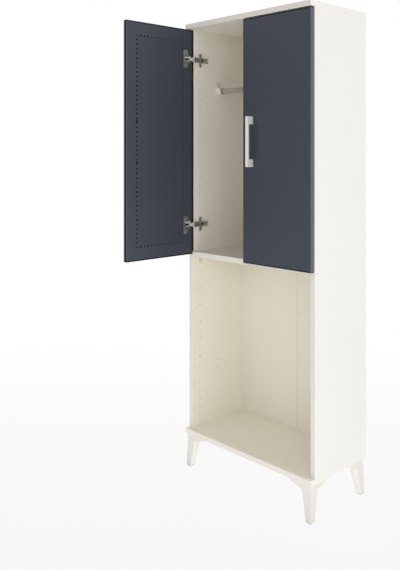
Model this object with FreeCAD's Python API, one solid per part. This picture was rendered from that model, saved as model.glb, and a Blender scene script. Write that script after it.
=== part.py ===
import FreeCAD, Part
import math
import os

# Tall two-door wardrobe on four splayed corner legs.
# Millimetres. X runs left to right, Y front to back, Z up.
# The origin lies on the floor, under the middle of the carcass footprint.
# The left door stands open at its rest angle and the right door is shut.

Vector = FreeCAD.Vector
AXIS_X = Vector(1, 0, 0)
AXIS_Y = Vector(0, 1, 0)
AXIS_Z = Vector(0, 0, 1)
ORIGIN = Vector(0, 0, 0)

# Carcass
carcass_width = 600.0
carcass_depth = 295.0
carcass_height = 1640.0
board_thickness = 18.0
board_edge_radius = 0.8
leg_height = 122.0
upper_compartment_height = 826.0
joint_gap = 0.15
cut_overrun = 1.0

# Back panel in two halves, in grooves, with a joint strip between them
back_thickness = 3.0
back_inset = 6.0
groove_depth = 6.0
groove_play = 0.2
strip_flange_width = 8.0
strip_flange_thickness = 0.8
strip_web_thickness = 1.2

# Doors
door_thickness = 18.0
door_back_gap = 2.0
door_side_reveal = 1.5
door_top_gap = 2.6
door_shelf_lap = 9.6
door_edge_radius = 3.0
door_rest_angle = 90.0
door_stop_angle = 100.0

# Frame of small dimples on each door's inner face
dimple_diameter = 4.6
dimple_depth = 1.6
dimple_pitch = 16.0
dimple_margin = 42.0

# Row holes and shelf supports
row_hole_diameter = 5.0
row_hole_depth = 12.0
row_hole_pitch = 32.0
row_hole_setback = 37.0
row_hole_first = 36.5
row_hole_margin = 20.0
spare_bracket_row = 5
support_width = 9.0
support_depth = 10.0
support_plate = 3.0
support_lip = 4.0
support_pin_length = 9.0
support_rear_offset = 192.0
support_least_drop = 20.0

# Clothes rail
rail_diameter = 20.0
rail_wall = 1.2
rail_setback = 150.0
rail_drop = 224.0
bracket_width = 17.0
bracket_height = 49.0
bracket_plate = 3.0
bracket_reach = 24.6
bracket_wall = 2.0
bracket_floor = 2.5
cheek_root_rise = 16.5
cheek_end_rise = 7.5
collar_length = 10.0
collar_wall = 1.0
set_screw_offset = 40.0
set_screw_diameter = 3.0
set_screw_head = 6.0
set_screw_head_height = 0.8
set_screw_length = 4.0

# Legs
leg_top_inset = 7.0
leg_foot_inset = 3.7
leg_foot_width = 20.0
leg_top_width = 37.0
wing_thickness = 20.0
wing_root_drop = 24.5
wing_bend_reach = 88.0
wing_bend_drop = 9.0
wing_mid_reach = 110.0
wing_mid_drop = 4.0
wing_tip_reach = 129.0
wing_tip_drop = 1.0
wing_root_radius = 8.0
leg_edge_radius = 1.2
glide_diameter = 15.0
glide_height = 2.5
glide_spike_diameter = 3.0
glide_spike_length = 12.0
leg_screw_reach = 72.0
leg_screw_length = 16.0
leg_screw_sink = 4.0

# Screws, by shank diameter, head diameter and head height
wood_screw_diameter = 4.0
wood_screw_head = 7.6
wood_screw_head_height = 1.8
small_screw_diameter = 3.5
small_screw_head = 6.6
small_screw_head_height = 1.4
small_screw_length = 12.0
machine_screw_diameter = 4.0
machine_screw_head = 8.0
machine_screw_head_height = 2.2
connector_diameter = 6.4
connector_head = 10.0
connector_head_height = 4.0
connector_length = 50.0
connector_end_distance = 60.0
connector_cap_height = 1.2
screw_fit = 0.05

# Dowels between boards
dowel_diameter = 8.0
dowel_length = 30.0
dowel_depth_in_board = 11.0
dowel_end_distance = 100.0

# Door hinges: cup in the door, arm and plate on the side panel, two link straps
hinge_end_distance = 110.0
cup_diameter = 35.0
cup_depth = 13.0
cup_edge_distance = 22.5
cup_wall = 0.9
cup_floor = 0.6
cup_fit = 0.05
flange_height = 65.0
flange_width = 20.0
flange_edge_distance = 21.5
flange_thickness = 1.2
flange_corner_radius = 4.0
cup_screw_offset = 9.5
cup_screw_spacing = 46.0
arm_pin_overhang = 7.0
arm_pin_lead = 12.5
cup_pin_edge_distance = 20.5
cup_pin_depth = 9.5
link_turn_share = -0.15
pin_diameter = 2.2
pin_running_fit = 0.05
pin_seat_fit = 0.02
nose_half_width = 5.0
nose_thickness = 3.2
nose_stand = 5.15
nose_bend_radius = 1.6
nose_cover_half_width = 9.0
nose_cover_lead = 8.0
strap_gap = 0.3
strap_thickness = 1.6
strap_cup_radius = 2.2
lug_gap = 0.2
lug_thickness = 2.5
lug_radius = 2.2
plate_wing_height = 52.0
plate_wing_width = 13.0
plate_thickness = 2.4
plate_corner_radius = 4.0
plate_screw_spacing = 32.0
rib_half_width = 5.5
rib_height = 6.9
rib_start = 14.0
rib_end = 68.0
arm_half_width = 9.0
arm_web_thickness = 1.8
arm_web_gap = 0.1
arm_side_gap = 0.2
arm_start = 4.0
arm_body_end = 50.0
arm_end = 71.0
tine_width = 4.6
tine_spread = 4.2
arm_cam_setback = 41.0
arm_cam_diameter = 7.0
arm_cam_height = 1.6
arm_cam_shank = 4.0
arm_adjuster_setback = 18.0
arm_adjuster_diameter = 5.0
arm_adjuster_height = 1.0

# Bow handles
handle_length = 170.0
handle_width = 10.0
handle_bar_thickness = 9.0
handle_projection = 28.0
handle_foot_height = 26.0
handle_edge_distance = 44.0
handle_below_middle = 3.0
handle_outer_radius = 1.5
handle_inner_radius = 2.5
handle_screw_depth = 10.0

# Levels and planes that follow from the sizes above
left = -carcass_width / 2
right = carcass_width / 2
front = -carcass_depth / 2
back = carcass_depth / 2
base_under = leg_height
base_top = base_under + board_thickness
top_under = carcass_height - board_thickness
shelf_top = top_under - upper_compartment_height
shelf_under = shelf_top - board_thickness
panel_front = front + door_thickness + door_back_gap
panel_inner = left + board_thickness
back_front = back - back_inset - back_thickness
groove_width = back_thickness + 2 * groove_play
door_inner_face = front + door_thickness
door_hinge_edge = left + door_side_reveal
door_free_edge = -door_side_reveal
door_top = top_under - door_top_gap
door_bottom = shelf_top - door_shelf_lap
door_height = door_top - door_bottom
row_front_y = panel_front + row_hole_setback
row_rear_y = row_front_y + support_rear_offset
row_first_z = base_top + row_hole_first
support_row = math.floor((shelf_under - support_least_drop - row_first_z) / row_hole_pitch)
support_pin_z = row_first_z + row_hole_pitch * support_row
rail_y = front + rail_setback
rail_z = top_under - rail_drop
bracket_bottom = rail_z - rail_diameter / 2 - bracket_wall
hinge_levels = (door_top - hinge_end_distance, door_bottom + hinge_end_distance)
handle_middle = (door_top + door_bottom) / 2 - handle_below_middle
handle_screw_levels = (
    handle_middle - (handle_length - handle_foot_height) / 2,
    handle_middle + (handle_length - handle_foot_height) / 2,
)
plate_y = panel_front + row_hole_setback

# Hinge pins, on the left side with the door shut
arm_pin = Vector(panel_inner - arm_pin_overhang, panel_front - arm_pin_lead, 0)
cup_pin = Vector(door_hinge_edge + cup_pin_edge_distance, door_inner_face - cup_pin_depth, 0)
rest_link_turn = door_rest_angle / (1 + link_turn_share)


def box(x0, x1, y0, y1, z0, z1):
    """A box between two corners."""
    return Part.makeBox(x1 - x0, y1 - y0, z1 - z0, Vector(x0, y0, z0))


def cylinder(base, axis, diameter, length):
    """A cylinder that starts at base and runs along axis."""
    return Part.makeCylinder(diameter / 2, length, base, axis)


def prism(edges, direction):
    """A prism on a closed outline of edges."""
    return Part.Face(Part.Wire(edges)).extrude(direction)


def line(a, b):
    """A straight edge."""
    return Part.LineSegment(a, b).toShape()


def arc(a, b, c):
    """A circular edge through three points."""
    return Part.Arc(a, b, c).toShape()


def polygon(points, direction):
    """A prism on straight edges between points."""
    edges = [line(a, b) for a, b in zip(points, points[1:] + points[:1])]
    return prism(edges, direction)


def mirrored(shape):
    """The same shape on the other side of the wardrobe's middle plane."""
    return shape.mirror(ORIGIN, AXIS_X)


def rounded(shape, radius, direction=None):
    """Rounds the edges that run along direction, or every edge."""
    edges = shape.Edges
    if direction is not None:
        edges = [e for e in edges if abs(e.tangentAt(e.FirstParameter).dot(direction)) > 0.99]
    return shape.makeFillet(radius, edges)


def group(solids):
    """Separate solids that share one node."""
    return Part.makeCompound(solids)


def screw(seat, axis, shank_diameter, length, head_diameter, head_height):
    """A screw whose head stands on seat and whose shank runs along axis."""
    shank = cylinder(seat, axis, shank_diameter, length)
    head = cylinder(seat, -axis, head_diameter, head_height)
    return shank.fuse(head).removeSplitter()


def along_row(first, last):
    """Levels of the row holes between two levels, on the row's own pitch."""
    start = math.ceil((first - row_first_z) / row_hole_pitch)
    end = math.floor((last - row_first_z) / row_hole_pitch)
    return [row_first_z + row_hole_pitch * i for i in range(start, end + 1)]


# Carcass


def horizontal_board(underside, groove_level):
    """Top or base board, with the back panel's groove at groove_level."""
    board = box(left, right, front, back, underside, underside + board_thickness)
    board = rounded(board, board_edge_radius)
    groove = box(
        panel_inner - groove_depth,
        -panel_inner + groove_depth,
        back_front - groove_play,
        back_front - groove_play + groove_width,
        groove_level,
        groove_level + groove_depth,
    )
    return board.cut(groove)


def carcass_joint_points():
    """Places along the depth of the side panels' joints to the boards."""
    depths = (panel_front + connector_end_distance, back - connector_end_distance)
    dowels = (panel_front + dowel_end_distance, back - dowel_end_distance)
    return depths, dowels


def panel_middles():
    """The middle planes of the two side panels."""
    return (left + board_thickness / 2, right - board_thickness / 2)


def connector(x, y, level, axis):
    """A long connecting screw through a board into the end of a side panel."""
    seat = Vector(x, y, level) + axis * (connector_head_height + connector_cap_height)
    return screw(seat, axis, connector_diameter, connector_length, connector_head, connector_head_height)


def connector_bore(x, y, level, axis):
    """Stepped bore for one connecting screw, from the board's outer face."""
    start = Vector(x, y, level) - axis * cut_overrun
    step = connector_head_height + connector_cap_height + cut_overrun
    seat = Vector(x, y, level) + axis * (connector_head_height + connector_cap_height)
    wide = cylinder(start, axis, connector_head + 2 * screw_fit, step)
    narrow = cylinder(seat, axis, connector_diameter + 2 * screw_fit, connector_length + cut_overrun)
    return wide.fuse(narrow)


def connector_cap(x, y, level, axis):
    """A flush cap over a connecting screw's head."""
    return cylinder(Vector(x, y, level), axis, connector_head, connector_cap_height)


def connectors(make):
    """One result of make for each connecting screw."""
    depths, _ = carcass_joint_points()
    places = []
    for x in panel_middles():
        for y in depths:
            places.append(make(x, y, carcass_height, -AXIS_Z))
            places.append(make(x, y, base_under, AXIS_Z))
    return places


def dowels(extra):
    """Dowels between the boards and the side panels, larger by extra all round."""
    _, depths = carcass_joint_points()
    solids = []
    for x in panel_middles():
        for y in depths:
            for level, axis in ((top_under, -AXIS_Z), (base_top, AXIS_Z)):
                start = Vector(x, y, level) - axis * (dowel_depth_in_board + extra)
                solids.append(cylinder(start, axis, dowel_diameter + 2 * extra, dowel_length + 2 * extra))
    return solids


def side_panel():
    """Left side panel with its groove, row holes and fitting holes."""
    panel = box(left, panel_inner, panel_front, back, base_top, top_under)
    panel = rounded(panel, board_edge_radius, AXIS_Z)
    cuts = [
        box(
            panel_inner - groove_depth,
            panel_inner + cut_overrun,
            back_front - groove_play,
            back_front - groove_play + groove_width,
            base_top - cut_overrun,
            top_under + cut_overrun,
        )
    ]
    plate_reach = plate_wing_height / 2 + row_hole_diameter
    for level in along_row(base_top, support_pin_z):
        cuts.append(row_hole(row_front_y, level))
    for level in along_row(shelf_top + row_hole_margin, top_under - row_hole_margin):
        if all(abs(level - hinge) > plate_reach for hinge in hinge_levels):
            cuts.append(row_hole(row_front_y, level))
    cuts.append(row_hole(row_rear_y, support_pin_z))
    for level in spare_bracket_levels():
        cuts.append(row_hole(rail_y, level))
    return panel.cut(group(cuts))


def row_hole(y, level):
    """A blind hole in the left panel's inner face."""
    return cylinder(Vector(panel_inner, y, level), -AXIS_X, row_hole_diameter, row_hole_depth)


def spare_bracket_levels():
    """A second pair of bracket holes, for a rail in the lower compartment."""
    lower = row_first_z + row_hole_pitch * spare_bracket_row
    return (lower, lower + row_hole_pitch)


def back_half():
    """Left half of the back panel, in its grooves."""
    inset = groove_depth - groove_play
    return box(
        panel_inner - inset,
        -strip_web_thickness / 2 - groove_play,
        back_front,
        back_front + back_thickness,
        base_top - inset,
        top_under + inset,
    )


def back_strip():
    """Joint strip with an H section that holds both halves of the back."""
    half = strip_flange_width / 2
    front_face = back_front - joint_gap - strip_flange_thickness
    rear_face = back_front + back_thickness + joint_gap
    bottom = base_top + joint_gap
    top = top_under - joint_gap
    web = box(-strip_web_thickness / 2, strip_web_thickness / 2, front_face, rear_face, bottom, top)
    near = box(-half, half, front_face, front_face + strip_flange_thickness, bottom, top)
    far = box(-half, half, rear_face, rear_face + strip_flange_thickness, bottom, top)
    return web.fuse([near, far]).removeSplitter()


def middle_shelf():
    """Fixed shelf between the upper and the lower compartment."""
    shelf_back = back_front - 2 * joint_gap - strip_flange_thickness
    shelf = box(
        panel_inner + joint_gap,
        -panel_inner - joint_gap,
        panel_front,
        shelf_back,
        shelf_under,
        shelf_top,
    )
    return rounded(shelf, board_edge_radius, AXIS_X)


def shelf_support(y):
    """Left support: a pin, a plate with a lip under the shelf, and a gusset."""
    half = support_width / 2
    bottom = support_pin_z - support_lip
    outline = [
        Vector(panel_inner, y - half, shelf_under),
        Vector(panel_inner, y - half, bottom),
        Vector(panel_inner + support_plate, y - half, bottom),
        Vector(panel_inner + support_depth, y - half, shelf_under - support_lip),
        Vector(panel_inner + support_depth, y - half, shelf_under),
    ]
    body = polygon(outline, AXIS_Y * support_width)
    pin_diameter_in_hole = row_hole_diameter - 2 * screw_fit
    pin = cylinder(Vector(panel_inner, y, support_pin_z), -AXIS_X, pin_diameter_in_hole, support_pin_length)
    return body.fuse(pin).removeSplitter()


# Legs


def leg_profile(reach_axis, depth_axis):
    """Elevation of a leg with its bracket wing, as a plate far thicker than the leg."""
    corner = Vector(left, front, 0)

    def at(reach, height):
        return corner + reach_axis * reach + AXIS_Z * height

    slope = (leg_top_inset - leg_foot_inset) / leg_height
    foot_outer = leg_foot_inset + slope * glide_height
    inner_slope = (leg_top_width - leg_foot_width + leg_top_inset - leg_foot_inset) / leg_height
    root_height = leg_height - wing_root_drop
    root = leg_foot_inset + leg_foot_width + inner_slope * root_height
    foot_inner = leg_foot_inset + leg_foot_width + inner_slope * glide_height
    wing_rise = (wing_root_drop - wing_bend_drop) / (wing_bend_reach - root)
    down = Vector(-inner_slope, 0, -1)
    down.normalize()
    along = Vector(1, 0, wing_rise)
    along.normalize()
    half_turn = math.acos(down.dot(along)) / 2
    setoff = wing_root_radius / math.tan(half_turn)
    bisector = (down + along)
    bisector.normalize()
    centre = bisector * (wing_root_radius / math.sin(half_turn))
    lower = down * setoff
    upper = along * setoff
    middle = centre - bisector * wing_root_radius
    points = [
        at(leg_top_inset, leg_height),
        at(foot_outer, glide_height),
        at(foot_inner, glide_height),
        at(root + lower.x, root_height + lower.z),
        at(root + middle.x, root_height + middle.z),
        at(root + upper.x, root_height + upper.z),
        at(wing_bend_reach, leg_height - wing_bend_drop),
        at(wing_mid_reach, leg_height - wing_mid_drop),
        at(wing_tip_reach, leg_height - wing_tip_drop),
        at(wing_tip_reach, leg_height),
    ]
    edges = [
        line(points[0], points[1]),
        line(points[1], points[2]),
        line(points[2], points[3]),
        arc(points[3], points[4], points[5]),
        line(points[5], points[6]),
        arc(points[6], points[7], points[8]),
        line(points[8], points[9]),
        line(points[9], points[0]),
    ]
    return prism(edges, depth_axis * (wing_tip_reach + cut_overrun))


def leg_slab(reach_axis, depth_axis, top_width, foot_width):
    """A slab that follows the leg's outer slope, seen from the side."""
    corner = Vector(left, front, 0)

    def at(reach, height):
        return corner + reach_axis * reach + AXIS_Z * height

    slope = (leg_top_inset - leg_foot_inset) / leg_height
    foot_outer = leg_foot_inset + slope * glide_height
    inner_slope = (leg_top_inset + top_width - leg_foot_inset - foot_width) / leg_height
    foot_inner = leg_foot_inset + foot_width + inner_slope * glide_height
    outline = [
        at(leg_top_inset, leg_height),
        at(foot_outer, glide_height),
        at(foot_inner, glide_height),
        at(leg_top_inset + top_width, leg_height),
    ]
    return polygon(outline, depth_axis * (wing_tip_reach + cut_overrun))


def leg_screw_place(reach_axis, depth_axis):
    """Axis point of a leg screw, at the wing's lower edge height."""
    middle = leg_top_inset + wing_thickness / 2
    corner = Vector(left, front, 0)
    return corner + reach_axis * leg_screw_reach + depth_axis * middle


def leg():
    """Front left corner leg with two bracket wings."""
    post = leg_slab(AXIS_X, AXIS_Y, leg_top_width, leg_foot_width).common(
        leg_slab(AXIS_Y, AXIS_X, leg_top_width, leg_foot_width)
    )
    front_wing = leg_profile(AXIS_X, AXIS_Y).common(
        leg_slab(AXIS_Y, AXIS_X, wing_thickness, leg_foot_width)
    )
    side_profile = leg_profile(AXIS_X, AXIS_Y)
    diagonal = Vector(1, -1, 0)
    side_wing = side_profile.mirror(Vector(left, front, 0), diagonal).common(
        leg_slab(AXIS_X, AXIS_Y, wing_thickness, leg_foot_width)
    )
    body = post.fuse([front_wing, side_wing]).removeSplitter()
    foot_edges = [e for e in body.Edges if e.BoundBox.ZMax < glide_height + cut_overrun]
    body = body.makeFillet(leg_edge_radius, foot_edges)
    cuts = [glide_spike(2 * screw_fit)]
    for seat in leg_screw_seats():
        cuts.append(cylinder(seat, AXIS_Z, wood_screw_diameter + 2 * screw_fit, leg_height))
        cuts.append(cylinder(seat, -AXIS_Z, wood_screw_head + 2 * screw_fit, leg_height))
    return body.cut(group(cuts))


def leg_screw_seats():
    """Where the heads of a leg's two screws sit, inside the wings."""
    seats = []
    for reach_axis, depth_axis in ((AXIS_X, AXIS_Y), (AXIS_Y, AXIS_X)):
        place = leg_screw_place(reach_axis, depth_axis)
        seats.append(place + AXIS_Z * (leg_height - leg_screw_sink))
    return seats


def leg_screws():
    """Two screws from a wing up into the base board."""
    solids = []
    for seat in leg_screw_seats():
        solids.append(
            screw(
                seat,
                AXIS_Z,
                wood_screw_diameter,
                leg_screw_length,
                wood_screw_head,
                wood_screw_head_height,
            )
        )
    return solids


def foot_centre():
    """Middle of the front left foot."""
    middle = leg_foot_inset + leg_foot_width / 2
    return Vector(left + middle, front + middle, 0)


def glide_spike(extra):
    """The nail of a foot glide, thicker by extra."""
    start = foot_centre() + AXIS_Z * glide_height
    return cylinder(start, AXIS_Z, glide_spike_diameter + extra, glide_spike_length)


def foot_glide():
    """A nail-on glide under the front left foot."""
    disc = cylinder(foot_centre(), AXIS_Z, glide_diameter, glide_height)
    return disc.fuse(glide_spike(0)).removeSplitter()


def four_corners(solid):
    """The front left solid and its three mirror images."""
    right_copy = mirrored(solid)
    rear = solid.mirror(ORIGIN, AXIS_Y)
    return [solid, right_copy, rear, mirrored(rear)]


# Clothes rail


def clothes_rail():
    """Round tube between the two brackets, bored for its set screws."""
    start = Vector(panel_inner + bracket_floor + joint_gap, rail_y, rail_z)
    length = -2 * start.x
    tube = cylinder(start, AXIS_X, rail_diameter, length)
    tube = tube.cut(cylinder(start, AXIS_X, rail_diameter - 2 * rail_wall, length))
    bore = cylinder(set_screw_seat(), AXIS_Y, set_screw_diameter + 2 * screw_fit, rail_diameter / 2)
    return tube.cut(group([bore, mirrored(bore)]))


def set_screw_seat():
    """Seat of the left set screw's head, on the front of the tube."""
    x = panel_inner + set_screw_offset
    half_head = set_screw_head / 2
    radius = rail_diameter / 2
    sag = radius - math.sqrt(radius * radius - half_head * half_head)
    return Vector(x, rail_y - radius + sag, rail_z)


def set_screw():
    """The left set screw, which keeps the tube from turning."""
    seat = set_screw_seat()
    shank = cylinder(seat, AXIS_Y, set_screw_diameter, set_screw_length)
    head = cylinder(seat, -AXIS_Y, set_screw_head, set_screw_head_height + rail_wall)
    body = shank.fuse(head).removeSplitter()
    tube_start = Vector(panel_inner, rail_y, rail_z)
    tube = cylinder(tube_start, AXIS_X, rail_diameter, 2 * set_screw_offset)
    hollow = cylinder(tube_start, AXIS_X, rail_diameter - 2 * rail_wall, 2 * set_screw_offset)
    around = cylinder(seat, AXIS_Y, set_screw_diameter, rail_diameter)
    return body.cut(tube.cut(hollow.fuse(around)))


def rail_collar():
    """Left collar round the tube, against the bracket's socket."""
    start = Vector(panel_inner + bracket_reach, rail_y, rail_z)
    bore = rail_diameter + 2 * screw_fit
    collar = cylinder(start, AXIS_X, bore + 2 * collar_wall, collar_length)
    return collar.cut(cylinder(start, AXIS_X, bore, collar_length))


def bracket_screw_levels():
    """The two screws of a rail bracket: behind the tube's end, and above it."""
    return (rail_z, rail_z + row_hole_pitch)


def rail_bracket():
    """Left bracket: a narrow plate, a round socket and a sloping cheek on each side of it."""
    half = bracket_width / 2
    socket_radius = rail_diameter / 2 + bracket_wall
    top = bracket_bottom + bracket_height
    plate = box(
        panel_inner, panel_inner + bracket_plate, rail_y - half, rail_y + half, bracket_bottom, top
    )
    plate = rounded(plate, bracket_wall, AXIS_X)
    root = box(
        panel_inner,
        panel_inner + bracket_plate,
        rail_y - socket_radius,
        rail_y + socket_radius,
        rail_z,
        rail_z + cheek_root_rise,
    )
    socket = cylinder(Vector(panel_inner, rail_y, rail_z), AXIS_X, 2 * socket_radius, bracket_reach)
    cheek_y = rail_y - socket_radius
    cheek = polygon(
        [
            Vector(panel_inner, cheek_y, rail_z),
            Vector(panel_inner + bracket_reach, cheek_y, rail_z),
            Vector(panel_inner + bracket_reach, cheek_y, rail_z + cheek_end_rise),
            Vector(panel_inner + bracket_plate, cheek_y, rail_z + cheek_root_rise),
            Vector(panel_inner, cheek_y, rail_z + cheek_root_rise),
        ],
        AXIS_Y * bracket_wall,
    )
    far_cheek = cheek.copy()
    far_cheek.translate(AXIS_Y * (2 * socket_radius - bracket_wall))
    body = plate.fuse([root, socket, cheek, far_cheek]).removeSplitter()
    bore_start = Vector(panel_inner + bracket_floor, rail_y, rail_z)
    bore = cylinder(bore_start, AXIS_X, rail_diameter + 2 * joint_gap, bracket_reach)
    cuts = [bore]
    for level in bracket_screw_levels():
        cuts.append(
            cylinder(
                Vector(panel_inner, rail_y, level),
                AXIS_X,
                small_screw_diameter + 2 * screw_fit,
                bracket_reach,
            )
        )
    return body.cut(group(cuts))


def bracket_screws():
    """Screws of the left bracket, with flat heads in the socket's floor and plate."""
    solids = []
    for level in bracket_screw_levels():
        seat_x = panel_inner + (bracket_floor if level == rail_z else bracket_plate)
        seat = Vector(seat_x, rail_y, level)
        solids.append(
            screw(
                seat,
                -AXIS_X,
                small_screw_diameter,
                small_screw_length,
                small_screw_head,
                small_screw_head_height,
            )
        )
    return solids


# Doors, made shut on the left side


def dimple_places():
    """The rectangle of dimples on the inner face, centred on the door."""
    width = door_free_edge - door_hinge_edge
    columns = math.floor((width - 2 * dimple_margin) / dimple_pitch)
    rows = math.floor((door_height - 2 * dimple_margin) / dimple_pitch)
    middle_x = (door_hinge_edge + door_free_edge) / 2
    middle_z = (door_top + door_bottom) / 2
    x0 = middle_x - columns * dimple_pitch / 2
    z0 = middle_z - rows * dimple_pitch / 2
    places = []
    for i in range(columns + 1):
        for j in range(rows + 1):
            if i in (0, columns) or j in (0, rows):
                places.append(Vector(x0 + i * dimple_pitch, door_inner_face, z0 + j * dimple_pitch))
    clear = (machine_screw_head + dimple_diameter) / 2
    heads = [Vector(handle_x(), door_inner_face, level) for level in handle_screw_levels]
    return [p for p in places if all(p.distanceToPoint(head) > clear for head in heads)]


def handle_x():
    """Middle of the left handle's width."""
    return door_free_edge - handle_edge_distance


def cup_centre(level):
    """Middle of a hinge cup, on the door's inner face."""
    return Vector(door_hinge_edge + cup_edge_distance, door_inner_face, level)


def cup_screw_places(level):
    """The two screws of a hinge cup."""
    centre = cup_centre(level) + AXIS_X * cup_screw_offset
    half = AXIS_Z * (cup_screw_spacing / 2)
    return [centre + half, centre - half]


def door_panel():
    """Left door, shut, with its cup bores, dimples and screw holes."""
    door = box(door_hinge_edge, door_free_edge, front, door_inner_face, door_bottom, door_top)
    door = rounded(door, door_edge_radius)
    cuts = []
    for level in hinge_levels:
        cuts.append(cylinder(cup_centre(level), -AXIS_Y, cup_diameter, cup_depth))
        for place in cup_screw_places(level):
            cuts.append(
                cylinder(place, -AXIS_Y, small_screw_diameter + 2 * screw_fit, small_screw_length)
            )
    for level in handle_screw_levels:
        start = Vector(handle_x(), door_inner_face, level)
        cuts.append(cylinder(start, -AXIS_Y, machine_screw_diameter + 2 * screw_fit, door_thickness))
    for place in dimple_places():
        cuts.append(cylinder(place, -AXIS_Y, dimple_diameter, dimple_depth))
    return door.cut(group(cuts))


def handle():
    """Left bow handle with two square feet, on the shut door's outer face."""
    half_width = handle_width / 2
    half_length = handle_length / 2
    outer_face = front - handle_projection
    outer = box(
        handle_x() - half_width,
        handle_x() + half_width,
        outer_face,
        front,
        handle_middle - half_length,
        handle_middle + half_length,
    )
    far_edges = [
        e
        for e in outer.Edges
        if e.BoundBox.YMax < outer_face + cut_overrun and e.BoundBox.ZLength < cut_overrun
    ]
    outer = outer.makeFillet(handle_outer_radius, far_edges)
    inner = box(
        handle_x() - half_width - cut_overrun,
        handle_x() + half_width + cut_overrun,
        outer_face + handle_bar_thickness,
        front + handle_projection,
        handle_middle - half_length + handle_foot_height,
        handle_middle + half_length - handle_foot_height,
    )
    near_edges = [
        e
        for e in inner.Edges
        if e.BoundBox.YMax < outer_face + handle_bar_thickness + cut_overrun
        and e.BoundBox.ZLength < cut_overrun
    ]
    inner = inner.makeFillet(handle_inner_radius, near_edges)
    body = outer.cut(inner)
    for level in handle_screw_levels:
        start = Vector(handle_x(), front, level)
        body = body.cut(
            cylinder(start, -AXIS_Y, machine_screw_diameter + 2 * screw_fit, handle_screw_depth)
        )
    return body


def handle_screws():
    """Machine screws from the door's inner face into the handle's feet."""
    length = door_thickness + handle_screw_depth - cut_overrun
    solids = []
    for level in handle_screw_levels:
        seat = Vector(handle_x(), door_inner_face, level)
        solids.append(
            screw(
                seat,
                -AXIS_Y,
                machine_screw_diameter,
                length,
                machine_screw_head,
                machine_screw_head_height,
            )
        )
    return solids


# Hinges, on the left side with the door shut


def hinge_cup(level):
    """Cup with a flange on the door's face and two lugs for the cup pins."""
    centre = cup_centre(level)
    depth = cup_depth - cup_fit
    radius = cup_diameter / 2 - cup_fit
    shell = cylinder(centre, -AXIS_Y, 2 * radius, depth)
    flange_x = door_hinge_edge + flange_edge_distance
    flange = box(
        flange_x,
        flange_x + flange_width,
        door_inner_face,
        door_inner_face + flange_thickness,
        level - flange_height / 2,
        level + flange_height / 2,
    )
    flange = rounded(flange, flange_corner_radius, AXIS_Y)
    mouth_start = centre + AXIS_Y * (flange_thickness + cut_overrun)
    mouth_depth = depth - cup_floor + flange_thickness + cut_overrun
    mouth = cylinder(mouth_start, -AXIS_Y, 2 * (radius - cup_wall), mouth_depth)
    body = shell.fuse(flange).cut(mouth)
    floor_y = door_inner_face - depth + cup_floor
    lug_start = nose_half_width + strap_gap + strap_thickness + lug_gap
    lugs = []
    for side in (-1, 1):
        low = lug_start if side > 0 else -lug_start - lug_thickness
        block = box(
            cup_pin.x - lug_radius,
            cup_pin.x + lug_radius,
            floor_y - cup_floor / 2,
            cup_pin.y,
            level + low,
            level + low + lug_thickness,
        )
        eye = cylinder(
            Vector(cup_pin.x, cup_pin.y, level + low), AXIS_Z, 2 * lug_radius, lug_thickness
        )
        lugs.append(block.fuse(eye))
    body = body.fuse(lugs).removeSplitter()
    bore_start = Vector(cup_pin.x, cup_pin.y, level - lug_start - lug_thickness)
    bore_length = 2 * (lug_start + lug_thickness)
    body = body.cut(cylinder(bore_start, AXIS_Z, pin_diameter + 2 * pin_seat_fit, bore_length))
    for place in cup_screw_places(level):
        body = body.cut(
            cylinder(
                place, AXIS_Y, small_screw_diameter + 2 * screw_fit, flange_thickness + cut_overrun
            )
        )
    return body


def cup_screws(level):
    """The two screws of a hinge cup."""
    solids = []
    for place in cup_screw_places(level):
        solids.append(
            screw(
                place + AXIS_Y * flange_thickness,
                -AXIS_Y,
                small_screw_diameter,
                small_screw_length,
                small_screw_head,
                small_screw_head_height,
            )
        )
    return solids


def cup_pins(level):
    """Two short pins that carry the link straps in the cup's lugs."""
    near = nose_half_width + strap_gap
    length = strap_thickness + lug_gap + lug_thickness
    solids = []
    for low in (near, -near - length):
        solids.append(
            cylinder(Vector(cup_pin.x, cup_pin.y, level + low), AXIS_Z, pin_diameter, length)
        )
    return solids


def arm_pin_solid(level):
    """The pin through the hinge arm's nose and both link straps."""
    half = nose_half_width + strap_gap + strap_thickness
    return cylinder(Vector(arm_pin.x, arm_pin.y, level - half), AXIS_Z, pin_diameter, 2 * half)


def link_straps(level):
    """Two straps that join the arm pin to the cup pins."""
    run = cup_pin - arm_pin
    side = Vector(-run.y, run.x, 0)
    side.normalize()
    outward = Vector(run.x, run.y, 0)
    outward.normalize()
    r_arm = nose_thickness / 2
    r_cup = strap_cup_radius
    hole = pin_diameter + 2 * pin_running_fit
    solids = []
    for low in (nose_half_width + strap_gap, -nose_half_width - strap_gap - strap_thickness):
        rise = AXIS_Z * (level + low)
        a = arm_pin + rise
        c = cup_pin + rise
        outline = [
            arc(a + side * r_arm, a - outward * r_arm, a - side * r_arm),
            line(a - side * r_arm, c - side * r_cup),
            arc(c - side * r_cup, c + outward * r_cup, c + side * r_cup),
            line(c + side * r_cup, a + side * r_arm),
        ]
        strap = prism(outline, AXIS_Z * strap_thickness)
        strap = strap.cut(cylinder(a, AXIS_Z, hole, strap_thickness))
        strap = strap.cut(cylinder(c, AXIS_Z, hole, strap_thickness))
        solids.append(strap)
    return solids


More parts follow.
